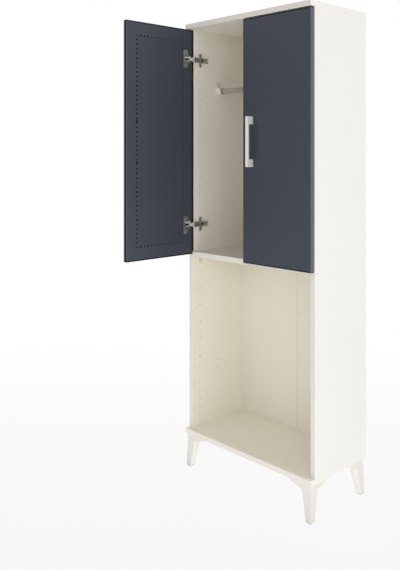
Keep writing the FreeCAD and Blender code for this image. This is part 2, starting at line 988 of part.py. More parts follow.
def nose_outline(level_bottom):
    """Outline of the arm's cranked nose, from the pin's eye to the arm."""
    half = nose_thickness / 2
    inner = panel_inner + nose_stand
    outer = inner + nose_thickness
    low = arm_pin.y - half
    high = arm_pin.y + half
    end = panel_front + arm_start + arm_web_thickness
    big = nose_bend_radius + nose_thickness
    diagonal = math.sqrt(0.5)
    rise = AXIS_Z * level_bottom

    def at(x, y):
        return Vector(x, y, 0) + rise

    big_centre = Vector(outer - big, low + big, 0)
    small_centre = Vector(inner - nose_bend_radius, high + nose_bend_radius, 0)
    return [
        arc(at(arm_pin.x, high), at(arm_pin.x - half, arm_pin.y), at(arm_pin.x, low)),
        line(at(arm_pin.x, low), at(outer - big, low)),
        arc(
            at(outer - big, low),
            at(big_centre.x + big * diagonal, big_centre.y - big * diagonal),
            at(outer, low + big),
        ),
        line(at(outer, low + big), at(outer, end)),
        line(at(outer, end), at(inner, end)),
        line(at(inner, end), at(inner, high + nose_bend_radius)),
        arc(
            at(inner, high + nose_bend_radius),
            at(
                small_centre.x + nose_bend_radius * diagonal,
                small_centre.y - nose_bend_radius * diagonal,
            ),
            at(inner - nose_bend_radius, high),
        ),
        line(at(inner - nose_bend_radius, high), at(arm_pin.x, high)),
    ]


def hinge_arm(level):
    """Arm over the plate's rib, with its cranked nose in front."""
    nose = prism(nose_outline(level - nose_half_width), AXIS_Z * (2 * nose_half_width))
    cover = box(
        panel_inner + nose_stand,
        panel_inner + nose_stand + nose_thickness,
        panel_front - nose_cover_lead,
        panel_front + arm_start + arm_web_thickness,
        level - nose_cover_half_width,
        level + nose_cover_half_width,
    )
    corner_edges = [e for e in cover.Edges if e.BoundBox.YMax < panel_front]
    corner_edges = [e for e in corner_edges if e.BoundBox.XLength > cut_overrun]
    cover = cover.makeFillet(nose_cover_half_width / 2, corner_edges)
    web_low = panel_inner + rib_height + arm_web_gap
    web = box(
        web_low,
        web_low + arm_web_thickness,
        panel_front + arm_start,
        panel_front + arm_body_end,
        level - arm_half_width,
        level + arm_half_width,
    )
    side_low = panel_inner + plate_thickness + arm_side_gap
    walls = []
    for low in (-arm_half_width, arm_half_width - arm_web_thickness):
        walls.append(
            box(
                side_low,
                web_low + arm_web_thickness,
                panel_front + rib_start,
                panel_front + arm_body_end,
                level + low,
                level + low + arm_web_thickness,
            )
        )
    tines = []
    for low in (tine_spread, -tine_spread - tine_width):
        tine = box(
            web_low,
            web_low + arm_web_thickness,
            panel_front + arm_body_end - cut_overrun,
            panel_front + arm_end,
            level + low,
            level + low + tine_width,
        )
        tines.append(tine)
    body = nose.fuse([cover, web] + walls + tines).removeSplitter()
    eye = Vector(arm_pin.x, arm_pin.y, level - nose_half_width)
    body = body.cut(cylinder(eye, AXIS_Z, pin_diameter + 2 * pin_seat_fit, 2 * nose_half_width))
    for place, diameter in arm_fixing_places(level):
        start = Vector(web_low - cut_overrun, place.y, place.z)
        body = body.cut(
            cylinder(start, AXIS_X, diameter + 2 * screw_fit, arm_web_thickness + 2 * cut_overrun)
        )
    return body


def arm_fixing_places(level):
    """Clamp cam and side adjuster of an arm, with the diameters of their shanks."""
    cam = Vector(panel_inner, panel_front + arm_cam_setback, level)
    adjuster = Vector(panel_inner, panel_front + arm_adjuster_setback, level)
    return ((cam, arm_cam_shank), (adjuster, arm_adjuster_diameter))


def arm_cams(level):
    """Clamp cam and side adjuster, each with its shank in the plate's rib."""
    web_low = panel_inner + rib_height + arm_web_gap
    web_high = web_low + arm_web_thickness
    (cam, cam_shank), (adjuster, adjuster_shank) = arm_fixing_places(level)
    shank_length = arm_web_thickness + rib_height / 2
    cam_solid = screw(
        Vector(web_high, cam.y, cam.z), -AXIS_X, cam_shank, shank_length, arm_cam_diameter, arm_cam_height
    )
    adjuster_start = Vector(web_high + arm_adjuster_height, adjuster.y, adjuster.z)
    adjuster_solid = cylinder(
        adjuster_start, -AXIS_X, adjuster_shank, shank_length + arm_adjuster_height
    )
    return [cam_solid, adjuster_solid]


def plate_screw_places(level):
    """The two screws that hold a mounting plate on the side panel."""
    half = plate_screw_spacing / 2
    return [Vector(panel_inner, plate_y, level + half), Vector(panel_inner, plate_y, level - half)]


def hinge_plate(level):
    """Cross-shaped mounting plate with a raised rib under the arm."""
    wings = box(
        panel_inner,
        panel_inner + plate_thickness,
        plate_y - plate_wing_width / 2,
        plate_y + plate_wing_width / 2,
        level - plate_wing_height / 2,
        level + plate_wing_height / 2,
    )
    wings = rounded(wings, plate_corner_radius, AXIS_X)
    rib = box(
        panel_inner,
        panel_inner + rib_height,
        panel_front + rib_start,
        panel_front + rib_end,
        level - rib_half_width,
        level + rib_half_width,
    )
    body = wings.fuse(rib).removeSplitter()
    cuts = []
    for place in plate_screw_places(level):
        cuts.append(
            cylinder(place, AXIS_X, wood_screw_diameter + 2 * screw_fit, plate_thickness + cut_overrun)
        )
    for place, diameter in arm_fixing_places(level):
        start = Vector(panel_inner + rib_height / 2 - arm_web_gap, place.y, place.z)
        cuts.append(cylinder(start, AXIS_X, diameter + 2 * screw_fit, rib_height))
    return body.cut(group(cuts))


def plate_screws(level):
    """The two screws of a mounting plate."""
    solids = []
    for place in plate_screw_places(level):
        seat = place + AXIS_X * plate_thickness
        solids.append(
            screw(
                seat,
                -AXIS_X,
                wood_screw_diameter,
                small_screw_length,
                wood_screw_head,
                wood_screw_head_height,
            )
        )
    return solids


def panel_fixing_holes():
    """Holes in the left side panel for the plates' and the bracket's screws."""
    holes = []
    for level in hinge_levels:
        for place in plate_screw_places(level):
            holes.append(
                cylinder(place, -AXIS_X, wood_screw_diameter + 2 * screw_fit, small_screw_length)
            )
    for level in bracket_screw_levels():
        start = Vector(panel_inner, rail_y, level)
        holes.append(
            cylinder(start, -AXIS_X, small_screw_diameter + 2 * screw_fit, small_screw_length)
        )
    return holes


# Turning the left side from shut to its rest angle


def with_link(shape):
    """Turns a shape with the left hinge's links, from shut to rest."""
    turned = shape.copy()
    turned.rotate(arm_pin, AXIS_Z, -rest_link_turn)
    return turned


def with_door(shape):
    """Turns a shape with the left door, from shut to rest."""
    turned = shape.copy()
    turned.rotate(cup_pin, AXIS_Z, -rest_link_turn * link_turn_share)
    turned.rotate(arm_pin, AXIS_Z, -rest_link_turn)
    return turned


def at_hinges(make):
    """The solids of make at both hinges of one door."""
    solids = []
    for level in hinge_levels:
        made = make(level)
        solids.extend(made if isinstance(made, list) else [made])
    return group(solids)


def both_sides(solids):
    """Solids of the left side and their mirror images."""
    return group(solids + [mirrored(s) for s in solids])


def build_carcass(nodes):
    """Boards, back, shelf, fittings and rail."""
    connector_cuts = connectors(connector_bore)
    dowel_cuts = dowels(joint_gap)
    leg_screw_cuts = []
    for seat in leg_screw_seats():
        bore = cylinder(seat, AXIS_Z, wood_screw_diameter + 2 * screw_fit, leg_screw_length)
        leg_screw_cuts.extend(four_corners(bore))
    top = horizontal_board(top_under, top_under)
    base = horizontal_board(base_under, base_top - groove_depth)
    panel = side_panel().cut(group(panel_fixing_holes()))
    nodes["top_board"] = top.cut(group(connector_cuts + dowel_cuts))
    nodes["base_board"] = base.cut(group(connector_cuts + dowel_cuts + leg_screw_cuts))
    nodes["left_side_panel"] = panel.cut(group(connector_cuts + dowel_cuts))
    nodes["right_side_panel"] = mirrored(nodes["left_side_panel"])
    nodes["middle_shelf"] = middle_shelf()
    nodes["back_panel_left"] = back_half()
    nodes["back_panel_right"] = mirrored(back_half())
    nodes["back_joint_strip"] = back_strip()
    nodes["carcass_screws"] = group(connectors(connector))
    nodes["screw_caps"] = group(connectors(connector_cap))
    nodes["carcass_dowels"] = group(dowels(0))
    supports = [shelf_support(row_front_y), shelf_support(row_rear_y)]
    nodes["shelf_supports"] = both_sides(supports)
    nodes["clothes_rail"] = clothes_rail()
    nodes["rail_collars"] = both_sides([rail_collar()])
    nodes["rail_set_screws"] = both_sides([set_screw()])
    nodes["left_rail_bracket"] = rail_bracket()
    nodes["right_rail_bracket"] = mirrored(rail_bracket())
    nodes["rail_bracket_screws"] = both_sides(bracket_screws())


def build_legs(nodes):
    """Four legs with their glides and screws."""
    names = ("front_left_leg", "front_right_leg", "rear_left_leg", "rear_right_leg")
    for name, solid in zip(names, four_corners(leg())):
        nodes[name] = solid
    nodes["foot_glides"] = group(four_corners(foot_glide()))
    screws = []
    for solid in leg_screws():
        screws.extend(four_corners(solid))
    nodes["leg_screws"] = group(screws)


def build_doors(nodes):
    """Both doors with handles and hinges: the left one at rest, the right one shut."""
    door_parts = {
        "door_panel": door_panel(),
        "handle": handle(),
        "handle_screws": group(handle_screws()),
        "hinge_cups": at_hinges(hinge_cup),
        "cup_screws": at_hinges(cup_screws),
        "cup_pins": at_hinges(cup_pins),
    }
    carcass_parts = {
        "hinge_plates": at_hinges(hinge_plate),
        "plate_screws": at_hinges(plate_screws),
        "hinge_arms": at_hinges(hinge_arm),
        "arm_cams": at_hinges(arm_cams),
        "arm_pins": at_hinges(arm_pin_solid),
    }
    straps = at_hinges(link_straps)
    for name, shape in door_parts.items():
        nodes["left_" + name] = with_door(shape)
        nodes["right_" + name] = mirrored(shape)
    for name, shape in carcass_parts.items():
        nodes["left_" + name] = shape
        nodes["right_" + name] = mirrored(shape)
    nodes["left_link_straps"] = with_link(straps)
    nodes["right_link_straps"] = mirrored(straps)


def print_layout():
    """Prints the places that describe the joints and the mounts."""
    cup_at_rest = FreeCAD.Placement(
        ORIGIN, FreeCAD.Rotation(AXIS_Z, -rest_link_turn), arm_pin
    ).multVec(cup_pin)
    print("arm pin, left", arm_pin)
    print("cup pin, left, at rest", cup_at_rest)
    print("cup pin, right, shut", mirrored(Part.Vertex(cup_pin)).Point)
    print("link turn from shut to rest", rest_link_turn)
    print("link turn from shut to stop", door_stop_angle / (1 + link_turn_share))
    print("door levels", door_bottom, door_top, "handle", handle_middle)
    print("hinge levels", hinge_levels, "rail", rail_y, rail_z)
    print("panel front", panel_front, "inner face", panel_inner, "back face", back_front)
    print("row holes from", row_first_z, "pin under shelf", support_pin_z, "row y", row_front_y)
    print("spare bracket holes", spare_bracket_levels())


def main():
    """Builds every node and writes one STEP file for each."""
    nodes = {}
    build_carcass(nodes)
    build_legs(nodes)
    build_doors(nodes)
    os.makedirs("parts", exist_ok=True)
    for name, shape in nodes.items():
        shape.exportStep("parts/" + name + ".step")
        count = len(shape.Solids)
        print(name, "solids", count, "valid", shape.isValid(), "volume", round(shape.Volume))
    print_layout()


main()
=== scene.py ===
import logging
import math
from dataclasses import dataclass, replace
from enum import Enum
from functools import reduce
from typing import Callable, Iterable, Optional

import bmesh
import bpy
from mathutils import Matrix, Vector


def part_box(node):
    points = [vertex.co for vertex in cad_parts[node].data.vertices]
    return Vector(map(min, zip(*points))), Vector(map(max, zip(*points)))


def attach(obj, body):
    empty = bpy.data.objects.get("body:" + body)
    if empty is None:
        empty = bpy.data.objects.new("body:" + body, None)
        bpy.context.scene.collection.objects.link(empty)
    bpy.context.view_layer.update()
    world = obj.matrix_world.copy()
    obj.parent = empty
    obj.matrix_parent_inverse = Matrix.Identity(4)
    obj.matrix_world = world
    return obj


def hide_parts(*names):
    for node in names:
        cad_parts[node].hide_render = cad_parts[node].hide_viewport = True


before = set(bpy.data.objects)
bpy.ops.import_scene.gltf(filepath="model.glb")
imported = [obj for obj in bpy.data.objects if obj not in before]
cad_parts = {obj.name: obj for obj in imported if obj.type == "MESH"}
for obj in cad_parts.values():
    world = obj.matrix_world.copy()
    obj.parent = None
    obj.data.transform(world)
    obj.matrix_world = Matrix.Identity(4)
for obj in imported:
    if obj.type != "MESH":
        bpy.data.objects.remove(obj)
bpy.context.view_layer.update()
CARCASS_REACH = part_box("top_board")[1].x

# Looks of a tall two-door wardrobe on splayed legs, in metres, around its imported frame.

LOG = logging.getLogger("wardrobe")
MM = 0.001
# Points this close together are joined, and points this far under a face count as on it
MERGE_DISTANCE = 0.002 * MM
FACE_DEPTH = 0.3 * MM
# Faces under the first angle are merged, edges over the second are sharp, over the third bevelled
FLAT_ANGLE = math.radians(0.5)
SMOOTH_ANGLE = math.radians(35.0)
SOFTENED_ANGLE = math.radians(40.0)
AXIS_X = Vector((1.0, 0.0, 0.0))
AXIS_Y = Vector((0.0, 1.0, 0.0))
AXIS_Z = Vector((0.0, 0.0, 1.0))
WHITE = (1.0, 1.0, 1.0)

Colour = tuple[float, float, float]
Place = tuple[float, float, float]
Material = bpy.types.Material
Node = bpy.types.Node
Pin = bpy.types.NodeSocket
Pins = dict[str, Pin]
Shape = bmesh.types.BMesh
Piece = bpy.types.Object


class Slot(Enum):
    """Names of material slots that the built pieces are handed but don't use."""

    LEG = "leg_lacquer"
    HANDLE = "handle_metal"
    HINGE = "hinge_steel"
    SCREW = "screw_steel"
    DARK_STEEL = "dark_steel"
    WHITE_PLASTIC = "white_plastic"
    DARK_PLASTIC = "dark_plastic"


class Side(Enum):
    """The two doors: at rest the left one stands open and the right one is shut."""

    LEFT = "left"
    RIGHT = "right"

    @property
    def thick_axis(self) -> int:
        """Axis across the door's thickness."""
        return 0 if self is Side.LEFT else 1

    @property
    def door_inside(self) -> Vector:
        """Direction in which the door's inner face looks."""
        return (AXIS_X, AXIS_Y)[self.thick_axis]

    @property
    def inward(self) -> Vector:
        """Direction from the side panel into the wardrobe."""
        return AXIS_X if self is Side.LEFT else -AXIS_X


# Node trees

# Sockets of a Mix node that mixes colours, by number: the factor and both colours, the result
MIX_INPUTS = (0, 6, 7)
MIX_RESULT = 2


@dataclass
class Graph:
    """Adds and links nodes in one node tree."""

    tree: bpy.types.NodeTree

    def add(self, kind: str, **settings: object) -> Node:
        """Adds one node.

        Args:
            kind: the node's type name, without the shader prefix.
            settings: properties to set on the node.

        Returns:
            The new node.
        """
        node = self.tree.nodes.new("ShaderNode" + kind)
        for name, value in settings.items():
            setattr(node, name, value)
        return node

    def feed(self, socket: Pin, value: object) -> None:
        """Links an input to an output socket, or sets it to a plain value.

        Args:
            socket: the input.
            value: an output socket, a number, a colour or a vector.
        """
        if isinstance(value, Pin):
            self.tree.links.new(value, socket)
        elif isinstance(value, tuple) and len(value) == 3 and socket.type == "RGBA":
            socket.default_value = (*value, 1.0)
        else:
            socket.default_value = value

    def fill(self, node: Node, **values: object) -> Node:
        """Feeds a node's inputs by name.

        Args:
            node: the node.
            values: what each input gets, its name with underscores for spaces.

        Returns:
            The node.
        """
        for name, value in values.items():
            self.feed(node.inputs[name.replace("_", " ")], value)
        return node

    def run(self, kind: str, values: tuple[object, ...], **settings: object) -> Pin:
        """Adds a node and feeds its inputs in order.

        Args:
            kind: the node's type name, without the shader prefix.
            values: what the inputs get, in order.
            settings: properties to set on the node.

        Returns:
            The node's first output.
        """
        node = self.add(kind, **settings)
        for socket, value in zip(node.inputs, values):
            self.feed(socket, value)
        return node.outputs[0]

    def math(self, operation: str, *values: object) -> Pin:
        """Returns the result of a Math node."""
        return self.run("Math", values, operation=operation)

    def vector(self, operation: str, *values: object) -> Pin:
        """Returns the first output of a Vector Math node."""
        return self.run("VectorMath", values, operation=operation)

    def dot(self, first: object, second: object) -> Pin:
        """Returns the dot product of two vectors."""
        return self.vector("DOT_PRODUCT", first, second).node.outputs["Value"]

    def below(self, value: object, limit: object) -> Pin:
        """Returns the mask of where a value is under a limit."""
        return self.math("LESS_THAN", value, limit)

    def above(self, value: object, limit: object) -> Pin:
        """Returns the mask of where a value is over a limit."""
        return self.math("GREATER_THAN", value, limit)

    def less(self, value: object, amount: object) -> Pin:
        """Returns a value less an amount."""
        return self.math("SUBTRACT", value, amount)

    def far(self, value: object, origin: object = 0.0) -> Pin:
        """Returns a value's distance from an origin."""
        return self.math("ABSOLUTE", self.less(value, origin))

    def chain(self, operation: str, values: tuple[object, ...]) -> Pin:
        """Returns the result of one operation along several values."""
        return reduce(lambda first, second: self.math(operation, first, second), values)

    def product(self, *values: object) -> Pin:
        """Returns the product of several values."""
        return self.chain("MULTIPLY", values)

    def largest(self, *values: object) -> Pin:
        """Returns the largest of several values."""
        return self.chain("MAXIMUM", values)

    def smallest(self, *values: object) -> Pin:
        """Returns the smallest of several values."""
        return self.chain("MINIMUM", values)

    def scaled(self, colour: Pin, factor: Pin) -> Pin:
        """Returns a colour times a factor."""
        node = self.add("VectorMath", operation="SCALE")
        return self.fill(node, Vector=colour, Scale=factor).outputs[0]

    def mix(self, factor: object, low: object, high: object) -> Pin:
        """Mixes two colours.

        Args:
            factor: socket or number, 0 for low and 1 for high.
            low: socket or colour.
            high: socket or colour.

        Returns:
            The mixed colour.
        """
        node = self.add("Mix", data_type="RGBA")
        for index, value in zip(MIX_INPUTS, (factor, low, high)):
            self.feed(node.inputs[index], value)
        return node.outputs[MIX_RESULT]

    def spread(
        self, value: Pin, low: object, high: object, new_low: object = 0.0, new_high: object = 1.0
    ) -> Pin:
        """Returns a value's place from low to high, as one from new_low to new_high."""
        return self.run("MapRange", (value, low, high, new_low, new_high))

    def fade(self, value: Pin, low: object, high: object) -> Pin:
        """Returns 1 up to a low value, and less from there to 0 at a high one."""
        return self.spread(value, low, high, 1.0, 0.0)

    def choose(self, mask: Pin, off: object, on: object) -> Pin:
        """Returns one value off a mask and another on it."""
        return self.spread(mask, 0.0, 1.0, off, on)

    def noise(self, place: Pin, scale: object, detail: float = 2.0, rough: float = 0.5) -> Pin:
        """Returns the value of a Noise Texture, with finer layers by their number and strength."""
        node = self.add("TexNoise")
        return self.fill(node, Vector=place, Scale=scale, Detail=detail, Roughness=rough).outputs[0]

    def place(self) -> Pin:
        """Returns the Object coordinates."""
        return self.add("TexCoord").outputs["Object"]

    def parts(self, vector: Optional[Pin] = None) -> tuple[Pin, Pin, Pin]:
        """Returns the three parts of a vector, or of the Object coordinates."""
        whole = self.place() if vector is None else vector
        return tuple(self.run("SeparateXYZ", (whole,)).node.outputs)

    def depths(self, low: object, high: object) -> tuple[Pin, Pin, Pin]:
        """Depth of a point under the nearer face of a box, along each axis.

        Args:
            low: the box's lowest corner.
            high: its highest corner.

        Returns:
            The three depths.
        """
        place = self.place()
        above, below = self.vector("SUBTRACT", place, low), self.vector("SUBTRACT", high, place)
        return self.parts(self.vector("MINIMUM", above, below))


VALUE_TYPE = "NodeSocketFloat"
SOCKET_TYPES = {
    "Colour": "NodeSocketColor",
    "Low": "NodeSocketVector",
    "High": "NodeSocketVector",
    "Stretch": "NodeSocketVector",
}


@dataclass(frozen=True)
class Effect:
    """A shader node group with named sockets, built once and used by several materials."""

    name: str
    inputs: tuple[str, ...]
    build: Callable[[Graph, Pins], Pins]

    def add_sockets(self, tree: bpy.types.NodeTree, way: str, names: Iterable[str]) -> None:
        """Adds sockets to a tree's interface."""
        for name, kind in ((name, SOCKET_TYPES.get(name, VALUE_TYPE)) for name in names):
            tree.interface.new_socket(name=name, in_out=way, socket_type=kind)

    def tree(self) -> bpy.types.NodeTree:
        """Returns the group's node tree, built on its first use."""
        known = bpy.data.node_groups.get(self.name)
        if known:
            return known
        tree = bpy.data.node_groups.new(self.name, "ShaderNodeTree")
        self.add_sockets(tree, "INPUT", self.inputs)
        entry = tree.nodes.new("NodeGroupInput")
        results = self.build(Graph(tree), {name: entry.outputs[name] for name in self.inputs})
        self.add_sockets(tree, "OUTPUT", results)
        end = tree.nodes.new("NodeGroupOutput")
        for name, pin in results.items():
            tree.links.new(pin, end.inputs[name])
        return tree

    def use(self, graph: Graph, **values: object) -> Pins:
        """Places the group in a material, feeds its inputs and returns its outputs by name."""
        node = graph.fill(graph.add("Group", node_tree=self.tree()), **values)
        return dict(node.outputs.items())


# Scales of textures are in features per metre.

NOISE_MIDDLE = 0.5
LACQUER_CLOUDS = 3.0
LACQUER_MOTTLE = 160.0
LACQUER_MOTTLE_SHARE = 0.4
LACQUER_TONES = (0.45, 0.95)
LACQUER_FLECKS = 900.0
LACQUER_FLECK_SHARE = 0.25
LACQUER_GLOSS_CHANGE = 0.03


def build_lacquer_skin(graph: Graph, given: Pins) -> Pins:
    """Sprayed lacquer: broad, faint tone changes over a fine orange-peel surface.

    Args:
        graph: the group's graph.
        given: the group's inputs.

    Returns:
        The colour, the surface height and the roughness.
    """
    place = graph.place()
    broad = graph.noise(place, LACQUER_CLOUDS, detail=3.0)
    mottle = graph.product(graph.noise(place, LACQUER_MOTTLE), LACQUER_MOTTLE_SHARE)
    change = graph.spread(graph.math("ADD", broad, mottle), *LACQUER_TONES, -1.0, 1.0)
    tone = graph.math("MULTIPLY_ADD", change, given["Tone change"], 1.0)
    peel = graph.noise(place, given["Peel scale"], rough=0.45)
    fleck = graph.noise(place, LACQUER_FLECKS, detail=1.0)
    return {
        "Colour": graph.scaled(given["Colour"], tone),
        "Height": graph.math("MULTIPLY_ADD", fleck, LACQUER_FLECK_SHARE, peel),
        "Roughness": graph.math("MULTIPLY_ADD", change, LACQUER_GLOSS_CHANGE, given["Roughness"]),
    }


LACQUER_SKIN = Effect(
    "Lacquer skin", ("Colour", "Tone change", "Peel scale", "Roughness"), build_lacquer_skin
)

CHIP_SCALE = 420.0
CHIP_SHARE = 0.6
CHIP_DUST = 1500.0
CHIP_DUST_SHARE = 0.5
CHIP_DARK = (0.88, 0.83, 0.73)
CHIP_PALE = (0.97, 0.93, 0.85)


def build_board_core(graph: Graph, given: Pins) -> Pins:
    """Pressed chips that show wherever a bore or groove goes through a board's skin.

    Args:
        graph: the group's graph.
        given: the group's inputs.

    Returns:
        The colour, with the core's under the skin.
    """
    x, y, z = graph.depths(given["Low"], given["High"])
    least = graph.smallest(x, y, z)
    place = graph.place()
    cells = graph.fill(graph.add("TexVoronoi"), Vector=place, Scale=CHIP_SCALE)
    chip = graph.run("SeparateColor", (cells.outputs["Color"],))
    dust = graph.noise(place, CHIP_DUST)
    tone = graph.math("MULTIPLY_ADD", dust, CHIP_DUST_SHARE, graph.product(chip, CHIP_SHARE))
    core = graph.mix(tone, CHIP_DARK, CHIP_PALE)
    return {"Colour": graph.mix(graph.above(least, given["Skin"]), given["Colour"], core)}


BOARD_CORE = Effect("Board core", ("Colour", "Low", "High", "Skin"), build_board_core)

GLUE_LINE_WIDTH = 0.12 * MM


def build_edge_band(graph: Graph, given: Pins) -> Pins:
    """The fine glue line where a board's face meets its edge band, and the arrises that get a
    painted highlight.

    Args:
        graph: the group's graph.
        given: the group's inputs.

    Returns:
        The line's mask and the mask of the arrises that get a painted highlight.
    """
    x, y, z = graph.depths(given["Low"], given["High"])
    larger = graph.smallest(graph.largest(x, y), z)
    second = graph.largest(graph.smallest(x, y), larger)
    from_line = graph.far(y, given["Band"])
    return {
        "Line": graph.fade(from_line, 0.0, GLUE_LINE_WIDTH),
        "Corner": graph.fade(second, 0.0, given["Band"]),
    }


EDGE_BAND = Effect("Edge band", ("Low", "High", "Band"), build_edge_band)

GRAIN_RINGS = 30.0
GRAIN_PORES = 160.0
GRAIN_PORE_LEVELS = (0.55, 0.75)
GRAIN_PORE_DEPTH = 0.5


def build_painted_grain(graph: Graph, given: Pins) -> Pins:
    """Wood grain that telegraphs through paint.

    Args:
        graph: the group's graph.
        given: the group's inputs.

    Returns:
        The grain's height and a mask of its pores.
    """
    stretched = graph.vector("MULTIPLY", graph.place(), given["Stretch"])
    rings = graph.noise(stretched, GRAIN_RINGS, detail=3.0, rough=0.6)
    pores = graph.spread(graph.noise(stretched, GRAIN_PORES), *GRAIN_PORE_LEVELS)
    height = graph.less(rings, graph.product(pores, GRAIN_PORE_DEPTH))
    return {"Height": height, "Pores": pores}


PAINTED_GRAIN = Effect("Painted grain", ("Stretch",), build_painted_grain)

SCRATCH_SCALE = 1400.0
SCRATCH_GLOSS = 0.08
SMUDGE_SCALE = 45.0
SMUDGE_LEVELS = (0.4, 0.7)
SMUDGE_GLOSS = (-0.04, 0.05)


def build_brushing(graph: Graph, given: Pins) -> Pins:
    """Long fine scratches of brushed or rolled metal, with faint handling marks.

    Args:
        graph: the group's graph.
        given: the group's inputs.

    Returns:
        The colour, the roughness and the height.
    """
    place = graph.place()
    stretched = graph.vector("MULTIPLY", place, given["Stretch"])
    lines = graph.noise(stretched, SCRATCH_SCALE, rough=0.6)
    marks = graph.noise(place, SMUDGE_SCALE, detail=3.0)
    offset = graph.less(lines, NOISE_MIDDLE)
    tone = graph.math("MULTIPLY_ADD", offset, given["Contrast"], 1.0)
    smudge = graph.spread(marks, *SMUDGE_LEVELS, *SMUDGE_GLOSS)
    rough = graph.math("MULTIPLY_ADD", lines, SCRATCH_GLOSS, given["Roughness"])
    return {
        "Colour": graph.scaled(given["Colour"], tone),
        "Roughness": graph.math("ADD", rough, smudge),
        "Height": lines,
    }


BRUSHING = Effect("Brushing", ("Colour", "Stretch", "Contrast", "Roughness"), build_brushing)

MOULD_SPARKS = 2500.0
MOULD_FLOW = 60.0
MOULD_FLOW_LEVELS = (0.35, 0.65)
MOULD_TONES = (0.96, 1.04)


def build_mould_skin(graph: Graph, given: Pins) -> Pins:
    """Spark-eroded texture of moulded plastic.

    Args:
        graph: the group's graph.
        given: the group's inputs.

    Returns:
        The colour and the height.
    """
    place = graph.place()
    grains = graph.noise(place, MOULD_SPARKS)
    tone = graph.spread(graph.noise(place, MOULD_FLOW), *MOULD_FLOW_LEVELS, *MOULD_TONES)
    return {"Colour": graph.scaled(given["Colour"], tone), "Height": grains}


MOULD_SKIN = Effect("Mould skin", ("Colour",), build_mould_skin)


# Finishes


def fresh_graph(owner: bpy.types.ID) -> Graph:
    """Empties the nodes of a material or world.

    Args:
        owner: the material or world.

    Returns:
        Its graph.
    """
    owner.use_nodes = True
    owner.node_tree.nodes.clear()
    return Graph(owner.node_tree)


class Paint(Graph):
    """Graph of a new material with a Principled shader."""

    def __init__(self, name: str) -> None:
        """Starts the material.

        Args:
            name: its name.
        """
        self.material = bpy.data.materials.new(name)
        super().__init__(fresh_graph(self.material).tree)
        self.shader = self.add("BsdfPrincipled")
        self.fill(self.add("OutputMaterial"), Surface=self.shader.outputs[0])

    def shade(self, **values: object) -> None:
        """Feeds the shader's inputs by name."""
        self.fill(self.shader, **values)

    def finish(self, colour: Pin, height: Pin, depth: float, strength: float = 1.0) -> Material:
        """Gives the shader its colour and its surface.

        Args:
            colour: the colour.
            height: the surface's height.
            depth: the height's full depth in metres.
            strength: how much of it shows.

        Returns:
            The material.
        """
        bump = self.fill(self.add("Bump"), Distance=depth, Strength=strength, Height=height)
        self.shade(Base_Color=colour, Normal=bump.outputs[0])
        return self.material


@dataclass(frozen=True)
class Finish:
    """What every finish has: a name, a colour and a roughness."""

    name: str
    colour: Colour
    roughness: float


@dataclass(frozen=True)
class LacquerFinish(Finish):
    """Sprayed lacquer on board or wood."""

    tone_change: float = 0.02
    peel_scale: float = 320.0
    peel_depth: float = 0.03 * MM
    specular: float = 0.4

    def skin(self, paint: Paint, colour: Optional[Pin] = None) -> Pins:
        """Adds the lacquer's skin to a material.

        Args:
            paint: the material.
            colour: its colour where it isn't the same all over.

        Returns:
            The skin's outputs.
        """
        skin = LACQUER_SKIN.use(
            paint,
            Colour=self.colour if colour is None else colour,
            Tone_change=self.tone_change,
            Peel_scale=self.peel_scale,
            Roughness=self.roughness,
        )
        paint.shade(Specular_IOR_Level=self.specular, Roughness=skin["Roughness"])
        return skin

    def plain(self) -> Material:
        """Returns the lacquer for a piece that is the same all over."""
        paint = Paint(self.name)
        skin = self.skin(paint)
        return paint.finish(skin["Colour"], skin["Height"], self.peel_depth)


@dataclass(frozen=True)
class LegFinish(LacquerFinish):
    """Lacquer of the legs, with painted light: paler on the faces that look under the wardrobe."""

    # Painted light: the faces that look under the wardrobe get this paler colour
    inner_painted_light_colour: Colour = (0.97, 0.955, 0.92)
    pore_colour: Colour = (0.45, 0.40, 0.32)
    pore_share: float = 0.05
    grain_share: float = 1.4

    def on_wood(self, stretch: Place) -> Material:
        """Lacquer on solid wood, whose grain shows faintly through.

        Args:
            stretch: how the grain is stretched along each axis.

        Returns:
            The material.
        """
        paint = Paint(self.name)
        # Painted light: faces turned towards the wardrobe's middle get the paler colour
        outward = paint.dot(paint.add("TexCoord").outputs["Normal"], paint.place())
        colour = paint.mix(paint.below(outward, 0.0), self.colour, self.inner_painted_light_colour)
        skin = self.skin(paint, colour)
        grain = PAINTED_GRAIN.use(paint, Stretch=stretch)
        pores = paint.product(grain["Pores"], self.pore_share)
        shade = paint.mix(pores, skin["Colour"], self.pore_colour)
        height = paint.math("MULTIPLY_ADD", grain["Height"], self.grain_share, skin["Height"])
        return paint.finish(shade, height, self.peel_depth)


